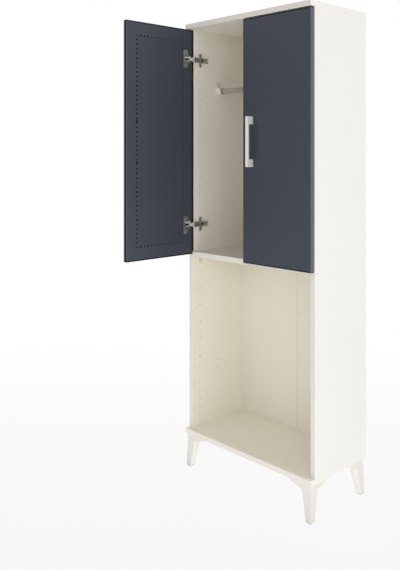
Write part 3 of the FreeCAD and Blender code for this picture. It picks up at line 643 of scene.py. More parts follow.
@dataclass(frozen=True)
class BoardFinish(LacquerFinish):
    """Foil-faced board with painted light: warm on the inside, more neutral on the outer sides and
    front edges, which are painted as lit and shaded copies of the foil.
    """

    # Painted light: the outer sides and the front edges get lit and shaded copies of the foil's
    # colour
    outer_painted_light_colour: Colour = (0.86, 0.85, 0.815)
    front_painted_light_colour: Colour = (0.755, 0.728, 0.675)
    band: float = 1.0 * MM
    skin_depth: float = 0.4 * MM
    # Painted shadow on a side panel's front edge beside its door's hinge edge
    painted_gap_shadow_colour: Colour = (0.012, 0.012, 0.013)
    painted_gap_shadow_width: float = 6.0 * MM
    painted_gap_shadow_depth: float = 4.5 * MM
    line_colour: Colour = (0.42, 0.38, 0.31)
    line_share: float = 0.12
    # Painted highlight along the arrises: how far they are lightened towards white
    painted_highlight_share: float = 0.10

    def by_face(self, paint: Paint, low: Vector, front_share: float) -> Pin:
        """Painted light of the board: its colour by the way each face looks.

        Args:
            paint: the material.
            low: the board's lowest corner.
            front_share: how much of the front colour its front edge has.

        Returns:
            The colour.
        """
        x, y, _ = paint.parts()
        side = paint.above(paint.far(x), CARCASS_REACH - FACE_DEPTH)
        front = paint.below(y, low.y + FACE_DEPTH)
        # Painted light: front edges and outer sides take their painted colours
        edged = paint.mix(paint.product(front, front_share), self.colour, self.front_painted_light_colour)
        return paint.mix(side, edged, self.outer_painted_light_colour)

    def painted_gap_shadow(self, paint: Paint, low: Vector, high: Vector, door: str) -> Pin:
        """Mask of the painted shadow on a side panel's front edge, beside its door's hinge edge.

        Args:
            paint: the material.
            low: the panel's lowest corner.
            high: the panel's highest corner.
            door: CAD node of the door.

        Returns:
            The mask.
        """
        x, y, z = paint.parts()
        door_low, door_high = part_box(door)
        near = paint.below(paint.far(x), min(abs(low.x), abs(high.x)) + self.painted_gap_shadow_width)
        front = paint.below(y, low.y + self.painted_gap_shadow_depth)
        return paint.product(near, front, paint.above(z, door_low.z), paint.below(z, door_high.z))

    def on_board(self, node: str, front_share: float, door: Optional[str] = None) -> Material:
        """Foil for one board, with its edge band and its chip core.

        Args:
            node: the board's CAD node.
            front_share: how much of the front colour its front edge has.
            door: CAD node of the door that closes on its front edge.

        Returns:
            The material.
        """
        low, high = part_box(node)
        paint = Paint(f"{self.name} on {node}")
        colour = self.by_face(paint, low, front_share)
        if door is not None:
            # Painted shadow: near black, and made metallic so that no gloss lightens it
            painted_gap_shadow = self.painted_gap_shadow(paint, low, high, door)
            colour = paint.mix(painted_gap_shadow, colour, self.painted_gap_shadow_colour)
            paint.shade(Metallic=painted_gap_shadow)
        skin = self.skin(paint, colour)
        edges = EDGE_BAND.use(paint, Low=low, High=high, Band=self.band)
        line = paint.product(edges["Line"], self.line_share)
        # Painted highlight: the arrises are lightened towards white
        corner = paint.product(edges["Corner"], self.painted_highlight_share)
        with_painted_highlight = paint.mix(corner, paint.mix(line, skin["Colour"], self.line_colour), WHITE)
        core = BOARD_CORE.use(paint, Colour=with_painted_highlight, Low=low, High=high, Skin=self.skin_depth)
        return paint.finish(core["Colour"], skin["Height"], self.peel_depth)


@dataclass(frozen=True)
class DoorFinish(LacquerFinish):
    """Matte lacquer of the doors.

    It has painted light: painted shade near black in the dimples, in rings round them and along the
    arrises, a painted highlight, paler, on the hinge edge and the outer half of the free edge, an
    inner face painted lighter towards its free edge, and a darker painted outer face.
    """

    # Painted light: the inner face grows lighter towards its free edge, and the outer face is
    # painted darker
    free_side_painted_light_colour: Colour = (0.058, 0.068, 0.088)
    outer_painted_light_colour: Colour = (0.0415, 0.0485, 0.0655)
    # Painted highlight, paler, on the hinge edge and the outer half of the free edge
    edge_painted_highlight_colour: Colour = (0.105, 0.120, 0.145)
    edge_painted_highlight_depth: float = 0.2 * MM
    dark_half: float = 10.0 * MM
    # Painted shade along the arrises and on the inner half of the free edge
    arris_width: float = 6.0 * MM
    arris_fade: float = 0.7
    end_narrowing: float = 3.0
    free_start: float = 3.0 * MM
    top_share: float = 0.75
    # Painted shade, near black, in the dimples and round them, and along the arrises
    painted_shade_colour: Colour = (0.004, 0.005, 0.006)
    recess_start: float = 0.1 * MM
    recess_full: float = 0.5 * MM
    recess_reach: float = 4.0 * MM
    edge_clearance: float = 4.0 * MM
    pitch: float = 16.0 * MM
    margin: float = 42.0 * MM
    # Painted shadow rings round the dimples
    shadow_ring_inner: float = 2.3 * MM
    shadow_ring_outer: float = 3.5 * MM

    def half_run(self, length: float) -> float:
        """Returns half the length of a row of dimples along an edge of the door."""
        return math.floor((length - 2 * self.margin) / self.pitch) * self.pitch / 2

    def nearest(self, paint: Paint, value: Pin, half: float) -> Pin:
        """Distance along one axis to the nearest dimple of a row.

        Args:
            paint: the material.
            value: place along the row, from its middle.
            half: half the row's length.

        Returns:
            The distance.
        """
        shifted = paint.math("ADD", value, half + self.pitch / 2)
        near = paint.far(paint.math("FLOORED_MODULO", shifted, self.pitch), self.pitch / 2)
        beyond = paint.less(paint.far(value), half)
        return paint.largest(beyond, 0.0, near)

    def rings(self, paint: Paint, across: Pin, up: Pin, width: float, height: float) -> Pin:
        """Mask of the painted shadow ring round each dimple.

        Args:
            paint: the material.
            across: place across the door, from its middle.
            up: place up the door, from its middle.
            width: the door's width.
            height: the door's height.

        Returns:
            The mask.
        """
        ways = (across, self.half_run(width)), (up, self.half_run(height))
        distances = []
        for (line, line_half), (run, run_half) in (ways, ways[::-1]):
            off = paint.far(paint.far(line), line_half)
            along = self.nearest(paint, run, run_half)
            squares = paint.math("ADD", paint.product(off, off), paint.product(along, along))
            distances.append(paint.math("SQRT", squares))
        return paint.fade(paint.smallest(*distances), self.shadow_ring_inner, self.shadow_ring_outer)

    def arris_shade(
        self, paint: Paint, from_end: Pin, from_top: Pin, depth: Pin, hinge_side: Pin, thick: float
    ) -> Pin:
        """Mask of the painted shade along a door's arrises and on the inner half of its free edge.

        Args:
            paint: the material.
            from_end: distance from the nearer upright edge.
            from_top: distance from the top or bottom edge.
            depth: depth under the inner face.
            hinge_side: mask of the half with the hinges.
            thick: the door's thickness.

        Returns:
            The mask.
        """
        reach = (self.arris_width * self.arris_fade, self.arris_width)
        near_end = paint.fade(paint.product(from_end, self.end_narrowing), *reach)
        near_top = paint.fade(from_top, *reach)
        free_side = paint.less(paint.above(depth, self.free_start), hinge_side)
        edge_face = paint.below(depth, thick - FACE_DEPTH)
        highlight_part = paint.product(paint.above(depth, self.dark_half), edge_face)
        plain = paint.less(1.0, highlight_part)
        elsewhere = paint.product(paint.largest(free_side, 0.0), plain)
        inner = paint.below(depth, FACE_DEPTH)
        wanted = paint.choose(inner, elsewhere, hinge_side)
        top = paint.product(near_top, plain, self.top_share)
        return paint.largest(paint.product(near_end, wanted), top)

    def on_door(self, side: Side) -> Material:
        """Lacquer for one door.

        Args:
            side: the door.

        Returns:
            The material.
        """
        node = side.value + "_door_panel"
        low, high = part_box(node)
        middle, size = (low + high) / 2, high - low
        thick, wide = side.thick_axis, 1 - side.thick_axis
        paint = Paint(f"{self.name} on {node}")
        place = paint.parts()
        sunk = paint.depths(low, high)
        across = paint.less(place[wide], middle[wide])
        up = paint.less(place[2], middle.z)
        depth = paint.less(high[thick], place[thick])
        to_free = paint.product(across, -1.0)
        hinge_side = paint.below(to_free, 0.0)

        # Painted light: the inner face grows lighter towards its free edge, and the outer face is
        # painted darker
        to_edge = paint.spread(to_free, 0.0, size[wide] / 2)
        inner_face_painted_light = paint.mix(to_edge, self.colour, self.free_side_painted_light_colour)
        outside = paint.above(depth, size[thick] - FACE_DEPTH)
        faced = paint.mix(outside, inner_face_painted_light, self.outer_painted_light_colour)
        # Painted highlight on the hinge edge and the outer half of the free edge
        highlight_part = paint.largest(hinge_side, paint.above(depth, self.dark_half))
        band = paint.product(paint.below(sunk[wide], self.edge_painted_highlight_depth), highlight_part)
        skin = self.skin(paint, paint.mix(band, faced, self.edge_painted_highlight_colour))

        # Painted shade in the dimples and in rings round them, fading towards the hinge side, and
        # along the arrises; made metallic so that no gloss lightens it
        near_face = paint.below(depth, self.recess_reach)
        under = paint.spread(depth, self.recess_start, self.recess_full)
        from_edge = paint.smallest(sunk[wide], sunk[2])
        hole_shade = paint.product(under, near_face, paint.above(from_edge, self.edge_clearance))
        rings = paint.product(self.rings(paint, across, up, size[wide], size.z), near_face)
        fade = paint.spread(to_free, -size[wide] / 2, size[wide] / 4)
        dimple_shade = paint.product(paint.largest(hole_shade, rings), fade)
        arris_shade = self.arris_shade(paint, sunk[wide], sunk[2], depth, hinge_side, size[thick])
        dark = paint.largest(dimple_shade, arris_shade)
        paint.shade(Metallic=dark)
        shade = paint.mix(dark, skin["Colour"], self.painted_shade_colour)
        return paint.finish(shade, skin["Height"], self.peel_depth)


@dataclass(frozen=True)
class MetalFinish(Finish):
    """Brushed, plated or polished metal."""

    stretch: Place = (1.0, 1.0, 1.0)
    contrast: float = 0.10
    depth: float = 0.01 * MM
    metallic: float = 1.0
    bump_strength: float = 0.6

    def material(self) -> Material:
        """Returns the metal."""
        return self.dressed(Paint(self.name), self.colour, self.metallic)

    def dressed(self, paint: Paint, colour: object, metallic: object) -> Material:
        """Gives a material the metal's grain.

        Args:
            paint: the material.
            colour: its colour, a socket where it isn't the same all over.
            metallic: how metallic it is, a socket where it isn't the same all over.

        Returns:
            The material.
        """
        grain = BRUSHING.use(
            paint,
            Colour=colour,
            Stretch=self.stretch,
            Contrast=self.contrast,
            Roughness=self.roughness,
        )
        paint.shade(Metallic=metallic, Roughness=grain["Roughness"])
        return paint.finish(grain["Colour"], grain["Height"], self.depth, self.bump_strength)


@dataclass(frozen=True)
class HingeFinish(MetalFinish):
    """Plated hinge steel with a pale nose and a dark slot behind it, and a cup with painted shade
    in its mouth, bowl and lip and a painted glint in its bowl.
    """

    nose_colour: Colour = (0.62, 0.63, 0.64)
    nose_metallic: float = 0.25
    slot_width: float = 3.5 * MM
    slot_share: float = 0.9
    # The dark slot on the arms, and painted shade, near black, in the cups' mouths
    slot_and_shade_colour: Colour = (0.012, 0.012, 0.011)
    # Painted shade on the cups' lips and in their bowls
    shaded_lip_colour: Colour = (0.20, 0.21, 0.23)
    shaded_bowl_colour: Colour = (0.27, 0.27, 0.255)
    mouth_start: float = 19.0 * MM
    mouth_full: float = 21.0 * MM
    mouth_end: float = 34.0 * MM
    mouth_half: float = 6.0 * MM
    mouth_blur: float = 2.0 * MM
    # Painted glint on the upper part of each cup's bowl
    painted_glint_colour: Colour = (0.95, 0.95, 0.93)
    glint_start: float = 13.0 * MM
    glint_low: float = 6.0 * MM
    glint_high: float = 10.5 * MM
    flange_height: float = 65.0 * MM
    flange_width: float = 20.2 * MM

    def arm(self, nose_end: float) -> Material:
        """Finish of the arms.

        Args:
            nose_end: where the nose ends and the body starts, on the second axis.

        Returns:
            The material.
        """
        paint = Paint(self.name + " arm")
        place = paint.parts()[1]
        nose = paint.below(place, nose_end)
        slot = paint.product(paint.below(place, nose_end + self.slot_width), self.slot_share)
        body = paint.mix(slot, self.colour, self.slot_and_shade_colour)
        metallic = paint.choose(nose, self.metallic, self.nose_metallic)
        return self.dressed(paint, paint.mix(nose, body, self.nose_colour), metallic)

    def cup(self, node: str, side: Side, face: float) -> Material:
        """Finish of the cups: a bowl with painted shade, near black in its mouth, and a painted
        glint, a lip with painted shade, and a plated flange.

        Args:
            node: the cups' CAD node.
            side: their door.
            face: place of the door's inner face across its thickness.

        Returns:
            The material.
        """
        wide = 1 - side.thick_axis
        low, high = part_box(node)
        paint = Paint(f"Cup of the {side.value} hinges")
        parts = paint.parts()
        place = paint.less(parts[wide], low[wide])
        inside = paint.below(parts[side.thick_axis], face)
        lower, upper = low.z + self.flange_height / 2, high.z - self.flange_height / 2
        offsets = [paint.less(parts[2], middle) for middle in (lower, upper)]
        offset = paint.choose(paint.above(parts[2], (lower + upper) / 2), *offsets)
        # Painted shade, near black, in the mouth of the bowl
        mouth_shade = paint.product(
            paint.spread(place, self.mouth_start, self.mouth_full),
            paint.fade(place, self.mouth_end, self.mouth_end + self.mouth_blur),
            paint.fade(paint.far(offset), self.mouth_half - self.mouth_blur, self.mouth_half),
        )
        # Painted glint: near white on the upper part of the bowl
        painted_glint = paint.product(
            paint.above(offset, self.glint_low),
            paint.below(offset, self.glint_high),
            paint.above(place, self.glint_start),
        )
        # Painted shade on the lip and in the bowl, less metallic inside so that it shows
        shaded_lip = paint.mix(paint.above(place, self.flange_width), self.colour, self.shaded_lip_colour)
        shaded_bowl = paint.mix(mouth_shade, self.shaded_bowl_colour, self.slot_and_shade_colour)
        colour = paint.mix(inside, shaded_lip, paint.mix(painted_glint, shaded_bowl, self.painted_glint_colour))
        metallic = paint.choose(inside, self.metallic, self.nose_metallic)
        return self.dressed(paint, colour, metallic)


@dataclass(frozen=True)
class PlasticFinish(Finish):
    """Moulded plastic."""

    depth: float = 0.02 * MM
    bump_strength: float = 0.5

    def material(self) -> Material:
        """Returns the plastic."""
        paint = Paint(self.name)
        paint.shade(Roughness=self.roughness)
        skin = MOULD_SKIN.use(paint, Colour=self.colour)
        return paint.finish(skin["Colour"], skin["Height"], self.depth, self.bump_strength)


CARCASS_FOIL = BoardFinish(
    "Off-white board", (0.91, 0.865, 0.765), 0.42, tone_change=0.012, specular=0.35
)
# Painted light: the top is a lighter copy of the foil, with a darker painted front edge
TOP_FOIL_PAINTED_LIGHT = replace(
    CARCASS_FOIL,
    name="Off-white top with painted light",
    colour=(0.955, 0.905, 0.805),
    front_painted_light_colour=(0.70, 0.665, 0.605),
)
# Painted light: the shelf is a darker copy of the foil, with a lighter painted front edge
SHELF_FOIL_PAINTED_LIGHT = replace(
    CARCASS_FOIL,
    name="Off-white shelf with painted light",
    colour=(0.78, 0.74, 0.64),
    front_painted_light_colour=(0.90, 0.885, 0.84),
)
BACK_FOIL = LacquerFinish(
    "Off-white back", (0.84, 0.805, 0.705), 0.5, tone_change=0.012, specular=0.3
)
LEG_LACQUER = LegFinish(
    "Off-white leg", (0.80, 0.77, 0.72), 0.38, tone_change=0.015, peel_depth=0.05 * MM
)
DOOR_LACQUER = DoorFinish(
    "Slate door",
    (0.049, 0.057, 0.075),
    0.55,
    tone_change=0.03,
    peel_scale=420.0,
    peel_depth=0.035 * MM,
    specular=0.31,
)
SATIN_HANDLE = MetalFinish(
    "Satin handle", (0.83, 0.82, 0.78), 0.38, stretch=(1.0, 1.0, 0.015), metallic=0.15
)
RAIL_STEEL = MetalFinish("Rail steel", (0.60, 0.59, 0.55), 0.36, stretch=(0.015, 1.0, 1.0))
HINGE_NICKEL = HingeFinish("Hinge nickel", (0.56, 0.56, 0.51), 0.30, contrast=0.06)
# Painted highlight: the link steel is near white and barely metallic so that it reads as lit
LINK_PAINTED_HIGHLIGHT = MetalFinish("Link steel with painted highlight", (0.95, 0.95, 0.94), 0.28, metallic=0.1)
SCREW_ZINC = MetalFinish("Screw zinc", (0.52, 0.51, 0.49), 0.33, contrast=0.08)
BLACK_STEEL = MetalFinish("Black steel", (0.03, 0.03, 0.03), 0.42, contrast=0.08)
SLATE_STEEL = replace(BLACK_STEEL, name="Slate steel", colour=(0.024, 0.030, 0.042))
WHITE_PLASTIC = PlasticFinish("White plastic", (0.75, 0.715, 0.64), 0.45)
STRIP_PLASTIC = PlasticFinish("Strip plastic", (0.80, 0.77, 0.685), 0.45)
COLLAR_PLASTIC = PlasticFinish("Collar plastic", (0.22, 0.20, 0.16), 0.5)
GLIDE_PLASTIC = PlasticFinish("Glide plastic", (0.90, 0.89, 0.86), 0.5)
BEECH = LacquerFinish("Beech dowel", (0.55, 0.38, 0.20), 0.6, tone_change=0.08)


# Meshes


@dataclass
class MeshMaker:
    """Collects bmesh shapes into one piece."""

    name: str

    def __post_init__(self) -> None:
        """Starts an empty mesh."""
        self.shapes = bmesh.new()

    def add(self, shape: Shape, place: Matrix = Matrix.Identity(4)) -> None:
        """Adds a shape and frees it.

        Args:
            shape: the shape, in its own frame.
            place: where it goes.
        """
        bmesh.ops.transform(shape, matrix=place, verts=shape.verts)
        part = bpy.data.meshes.new("part")
        shape.to_mesh(part)
        shape.free()
        self.shapes.from_mesh(part)
        bpy.data.meshes.remove(part)

    def finish(self, material: Material) -> Piece:
        """Turns the shapes into an object at the origin.

        Args:
            material: its material.

        Returns:
            The object.
        """
        mesh = bpy.data.meshes.new(self.name)
        self.shapes.to_mesh(mesh)
        self.shapes.free()
        mesh.shade_smooth()
        mesh.set_sharp_from_angle(angle=SMOOTH_ANGLE)
        mesh.materials.append(material)
        piece = bpy.data.objects.new(self.name, mesh)
        bpy.context.scene.collection.objects.link(piece)
        return piece


def bevel(shape: Shape, edges: list[bmesh.types.BMEdge], width: float, segments: int) -> None:
    """Bevels some edges of a shape.

    Args:
        shape: the shape.
        edges: the edges.
        width: width of the bevel.
        segments: number of steps across it.
    """
    bmesh.ops.bevel(
        shape,
        geom=edges,
        offset=width,
        offset_type="OFFSET",
        segments=segments,
        profile=0.5,
        affect="EDGES",
        material=-1,
        clamp_overlap=True,
    )


def soften(shape: Shape, width: float, segments: int) -> None:
    """Bevels the sharp edges of a shape."""
    closed = [edge for edge in shape.edges if len(edge.link_faces) == 2]
    bevel(shape, [e for e in closed if e.calc_face_angle() > SOFTENED_ANGLE], width, segments)


def joined_copy(node: str) -> Shape:
    """Copies a CAD node's mesh and joins its loose triangles.

    Args:
        node: the CAD node.

    Returns:
        The copy.
    """
    shape = bmesh.new()
    shape.from_mesh(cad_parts[node].data)
    bmesh.ops.remove_doubles(shape, verts=shape.verts, dist=MERGE_DISTANCE)
    return shape


def merged_copy(node: str) -> Shape:
    """Copies a CAD node's mesh and merges its flat stretches into larger faces.

    Args:
        node: the CAD node.

    Returns:
        The copy.
    """
    shape = joined_copy(node)
    bmesh.ops.dissolve_limit(
        shape, angle_limit=FLAT_ANGLE, verts=shape.verts, edges=shape.edges, delimit=set()
    )
    return shape


def solid_boxes(node: str) -> list[tuple[Vector, Vector]]:
    """Boxes of the separate solids in a CAD node.

    Args:
        node: the CAD node.

    Returns:
        The lowest and highest corner of each solid, in the order of the mesh.
    """
    shape = joined_copy(node)
    left = set(shape.verts)
    boxes = []
    for start in shape.verts:
        if start not in left:
            continue
        left.remove(start)
        stack, members = [start], []
        while stack:
            vert = stack.pop()
            members.append(vert.co.copy())
            for edge in vert.link_edges:
                other = edge.other_vert(vert)
                if other in left:
                    left.remove(other)
                    stack.append(other)
        boxes.append((Vector(map(min, zip(*members))), Vector(map(max, zip(*members)))))
    shape.free()
    return boxes


def facing(out: Vector, place: Vector) -> Matrix:
    """Frame whose third axis points out.

    Args:
        out: direction of the third axis, upright or level.
        place: the frame's origin.

    Returns:
        The frame as a matrix.
    """
    first = AXIS_X if out.z else AXIS_Z.cross(out)
    turn = Matrix((first, out.cross(first), out)).transposed().to_4x4()
    return Matrix.Translation(place) @ turn


def verts_of(made: list[object]) -> list[bmesh.types.BMVert]:
    """Returns the vertices among what an operator made."""
    return [item for item in made if isinstance(item, bmesh.types.BMVert)]


def edges_of(made: list[object]) -> list[bmesh.types.BMEdge]:
    """Returns the edges among what an operator made."""
    return [item for item in made if isinstance(item, bmesh.types.BMEdge)]


class Drive(Enum):
    """Drive in a screw's head."""

    CROSS = "cross"
    HEX = "hex"


@dataclass(frozen=True)
class Screw:
    """A domed head with a drive recess, seated on its first two axes, over a plain shank.

    With no radius of its own, each is as wide as the solid that it replaces, and not twisted.
    """

    radius: Optional[float]
    height: float
    shank: float
    drive: Drive = Drive.CROSS
    head_segments: int = 32
    shank_segments: int = 20
    crown_share: float = 0.80
    shoulders: tuple[tuple[float, float], ...] = ((0.93, 0.85), (1.0, 0.45), (1.0, 0.0))
    drive_share: float = 0.62
    slot_share: float = 0.15
    depth_share: float = 0.75
    recess_taper: float = 0.8

    def outline(self) -> list[tuple[float, float]]:
        """Returns the outline of the drive recess."""
        reach = self.radius * self.drive_share
        if self.drive is Drive.HEX:
            turns = [math.tau * i / 6 for i in range(6)]
            return [(reach * math.cos(t), reach * math.sin(t)) for t in turns]
        half = self.radius * self.slot_share
        points = []
        for i in range(4):
            turn = Matrix.Rotation(math.tau * i / 4, 2)
            for x, y in ((reach, -half), (reach, half), (half, half)):
                points.append(tuple(turn @ Vector((x, y))))
        return points

    def head(self) -> Shape:
        """Returns the head as a closed shape."""
        shape = bmesh.new()
        crown = self.radius * self.crown_share
        bmesh.ops.create_circle(shape, segments=self.head_segments, radius=crown)
        bmesh.ops.translate(shape, vec=(0.0, 0.0, self.height), verts=shape.verts)
        rim = list(shape.edges)
        corners = [shape.verts.new((x, y, self.height)) for x, y in self.outline()]
        recess = [shape.edges.new((a, b)) for a, b in zip(corners, corners[1:] + corners[:1])]
        bmesh.ops.triangle_fill(shape, use_beauty=True, edges=rim + recess, normal=AXIS_Z)
        self.sink(shape, recess)
        self.skirt(shape, rim)
        bmesh.ops.recalc_face_normals(shape, faces=shape.faces)
        return shape

    def sink(self, shape: Shape, edges: list[bmesh.types.BMEdge]) -> None:
        """Sinks the drive recess.

        Args:
            shape: the head.
            edges: the recess's outline.
        """
        made = bmesh.ops.extrude_edge_only(shape, edges=edges)["geom"]
        floor = self.height * (1 - self.depth_share)
        for vert in verts_of(made):
            vert.co = vert.co.x * self.recess_taper, vert.co.y * self.recess_taper, floor
        bmesh.ops.triangle_fill(shape, use_beauty=True, edges=edges_of(made), normal=AXIS_Z)

    def skirt(self, shape: Shape, edges: list[bmesh.types.BMEdge]) -> None:
        """Adds the head's shoulder, side and underside.

        Args:
            shape: the head.
            edges: the crown's rim.
        """
        for share, level in self.shoulders:
            made = bmesh.ops.extrude_edge_only(shape, edges=edges)["geom"]
            for vert in verts_of(made):
                flat = vert.co.xy.normalized() * (self.radius * share)
                vert.co = *flat, self.height * level
            edges = edges_of(made)
        bmesh.ops.contextual_create(shape, geom=edges)

    def rod(self, length: float) -> Shape:
        """The shank, from the seat down.

        Args:
            length: its length.

        Returns:
            The shape.
        """
        shape = bmesh.new()
        bmesh.ops.create_cone(
            shape,
            cap_ends=True,
            segments=self.shank_segments,
            radius1=self.shank,
            radius2=self.shank,
            depth=length,
            matrix=Matrix.Translation((0, 0, -length / 2)),
        )
        return shape


LEG_SCREW = Screw(3.8 * MM, 1.8 * MM, 2.0 * MM)
PLATE_SCREW = LEG_SCREW
CUP_SCREW = Screw(3.3 * MM, 1.4 * MM, 1.75 * MM)
HANDLE_SCREW = Screw(4.0 * MM, 2.2 * MM, 2.0 * MM)
SET_SCREW = Screw(3.0 * MM, 0.8 * MM, 1.5 * MM, drive=Drive.HEX)
ARM_CAM = Screw(None, 1.2 * MM, 2.0 * MM)
TWIST_STEP = 137.0
LARGEST_TWIST = 90.0


# Sub-assemblies


@dataclass
class Dressing:
    """Base of the sub-assemblies: reports and places their pieces."""

    def place(self, piece: Piece, body: str, slot: Slot, node: str) -> None:
        """Lets a piece ride on a body and stand for a CAD node.

        Args:
            piece: the piece.
            body: the body that it moves with.
            slot: its material slot; not used.
            node: the CAD node that it replaces.
        """
        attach(piece, body)
        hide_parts(node)
        LOG.info("%s: %d faces on %s", piece.name, len(piece.data.polygons), body)

    def dress(self, material: Material, *nodes: str) -> None:
        """Gives CAD nodes that stay their material.

        Args:
            material: the material.
            nodes: the CAD nodes.
        """
        for node in nodes:
            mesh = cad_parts[node].data
            mesh.materials.clear()
            mesh.materials.append(material)
            LOG.info("%s: dressed in %s", node, material.name)

    def eased(
        self, node: str, body: str, slot: Slot, material: Material, width: float, segments: int = 2
    ) -> None:
        """Replaces a CAD node by a copy with softened edges.

        Args:
            node: the CAD node.
            body: its body.
            slot: its material slot.
            material: its material.
            width: width of the softened edges.
            segments: steps across them.
        """
        shape = merged_copy(node)
        soften(shape, width, segments)
        maker = MeshMaker(node + "_eased")
        maker.add(shape)
        self.place(maker.finish(material), body, slot, node)

    def screws(
        self, node: str, body: str, out: Vector, screw: Screw, material: Material,
        slot: Slot = Slot.SCREW,
    ) -> None:
        """Replaces a CAD node of screws by screws with a drive recess.

        Args:
            node: the CAD node.
            body: its body.
            out: direction in which the heads point.
            screw: their shape.
            material: their material.
            slot: their material slot.
        """
        maker = MeshMaker(node + "_driven")
        for low, high in solid_boxes(node):
            half = abs((high - low).dot(out)) / 2
            seat = facing(out, (low + high) / 2 + out * half - out * screw.height)
            used, twist = screw, TWIST_STEP * len(maker.shapes.verts) % LARGEST_TWIST
            if screw.radius is None:
                radius = (high.z - low.z) / 2
                used, twist = replace(screw, radius=radius, shank=min(radius, screw.shank)), 0.0
            maker.add(used.head(), seat @ Matrix.Rotation(math.radians(twist), 4, "Z"))
            maker.add(used.rod(2 * half - screw.height), seat)
        self.place(maker.finish(material), body, slot, node)


@dataclass
class Carcass(Dressing):
    """Boards, back panels, shelf and their fittings."""

    support_edge: float = 0.4 * MM

    def build(self) -> None:
        """Dresses every board and fitting."""
        for node, foil, front_share in (
            ("top_board", TOP_FOIL_PAINTED_LIGHT, 1.0),
            ("base_board", CARCASS_FOIL, 0.6),
            ("left_side_panel", CARCASS_FOIL, 1.0),
            ("right_side_panel", CARCASS_FOIL, 1.0),
            ("middle_shelf", SHELF_FOIL_PAINTED_LIGHT, 0.5),
        ):
            door = node.replace("side", "door") if node.endswith("side_panel") else None
            self.dress(foil.on_board(node, front_share, door), node)
        self.dress(BACK_FOIL.plain(), "back_panel_left", "back_panel_right")
        plastic = WHITE_PLASTIC.material()
        self.dress(STRIP_PLASTIC.material(), "back_joint_strip")
        self.dress(plastic, "screw_caps")
        self.eased("shelf_supports", "carcass", Slot.WHITE_PLASTIC, plastic, self.support_edge)
        self.dress(BEECH.plain(), "carcass_dowels")
        self.dress(SCREW_ZINC.material(), "carcass_screws")


@dataclass
class Legs(Dressing):
    """The four legs with glides and screws."""

    edge: float = 0.9 * MM
    edge_segments: int = 3
    grain: Place = (1.0, 1.0, 0.06)

    def build(self) -> None:
        """Builds the legs and what is under them."""
        paint = LEG_LACQUER.on_wood(self.grain)
        for corner in ("front_left", "front_right", "rear_left", "rear_right"):
            node = corner + "_leg"
            self.eased(node, "carcass", Slot.LEG, paint, self.edge, self.edge_segments)
        self.dress(GLIDE_PLASTIC.material(), "foot_glides")
        self.screws("leg_screws", "carcass", -AXIS_Z, LEG_SCREW, SCREW_ZINC.material())


@dataclass
class ClothesRail(Dressing):
    """Tube, collars, brackets and their screws."""

    collar_edge: float = 0.3 * MM
    bracket_edge: float = 0.35 * MM

    def build(self) -> None:
        """Builds the rail and its fittings."""
        self.dress(RAIL_STEEL.material(), "clothes_rail")
        dark = COLLAR_PLASTIC.material()
        self.eased("rail_collars", "carcass", Slot.DARK_PLASTIC, dark, self.collar_edge)
        plastic = WHITE_PLASTIC.material()
        for side in Side:
            node = side.value + "_rail_bracket"
            self.eased(node, "carcass", Slot.WHITE_PLASTIC, plastic, self.bracket_edge)
        self.dress(plastic, "rail_bracket_screws")
        self.screws("rail_set_screws", "carcass", -AXIS_Y, SET_SCREW, SCREW_ZINC.material())


@dataclass
class BowHandle(Dressing):
    """A square bow handle on one door."""

    side: Side
    bar: float = 9.0 * MM
    foot: float = 26.0 * MM
    outer_radius: float = 1.5 * MM
    inner_radius: float = 2.5 * MM
    corner_segments: int = 5
    edge: float = 0.6 * MM
    edge_segments: int = 3
    level_tolerance: float = 0.1 * MM

    def profile(self, reach: float, length: float) -> Shape:
        """Side view of the bow as one face.

        Args:
            reach: how far it stands off the door.
            length: its whole length.

        Returns:
            The shape, in the plane of its second and third axes.
        """
        half, gap, inner = length / 2, length / 2 - self.foot, reach - self.bar
        outline = [(0, -half), (reach, -half), (reach, half), (0, half)]
        outline += [(0, gap), (inner, gap), (inner, -gap), (0, -gap)]
        shape = bmesh.new()
        shape.faces.new([shape.verts.new((0, y, z)) for y, z in outline])
        return shape

    def shape(self, width: float, reach: float, length: float) -> Shape:
        """The whole bow.

        Args:
            width: its width across the bar.
            reach: how far it stands off the door.
            length: its whole length.

        Returns:
            The shape, centred, with its feet on the plane of its first and third axes.
        """
        shape = self.profile(reach, length)
        made = bmesh.ops.extrude_face_region(shape, geom=list(shape.faces))["geom"]
        bmesh.ops.translate(shape, vec=(width, 0, 0), verts=verts_of(made))
        bmesh.ops.translate(shape, vec=(-width / 2, 0, 0), verts=shape.verts)
        bmesh.ops.recalc_face_normals(shape, faces=shape.faces)
        corners = (self.outer_radius, reach), (self.inner_radius, reach - self.bar)
        for radius, level in corners:
            bevel(shape, self.crossing(shape, level), radius, self.corner_segments)
        soften(shape, self.edge, self.edge_segments)
        return shape

    def crossing(self, shape: Shape, level: float) -> list[bmesh.types.BMEdge]:
        """Edges that run across the bar at one distance from the door.

        Args:
            shape: the bow.
            level: the distance.

        Returns:
            The edges.
        """
        found = []
        for edge in shape.edges:
            start, end = (vert.co for vert in edge.verts)
            across = (start - end).yz.length < self.level_tolerance
            if across and abs(start.y - level) < self.level_tolerance:
                found.append(edge)
        return found

    def build(self) -> None:
        """Builds the handle on its door."""
        side = self.side
        node = side.value + "_handle"
        low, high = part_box(node)
        size = high - low
        out, reach, width = -side.door_inside, size[side.thick_axis], size[1 - side.thick_axis]
        root = (low + high) / 2 - out * (reach / 2)
        turn = Matrix((out.cross(AXIS_Z), out, AXIS_Z)).transposed().to_4x4()
        maker = MeshMaker(side.value + "_bow_handle")
        maker.add(self.shape(width, reach, size.z), Matrix.Translation(root) @ turn)
        piece = maker.finish(SATIN_HANDLE.material())
        self.place(piece, side.value + "_door", Slot.HANDLE, node)


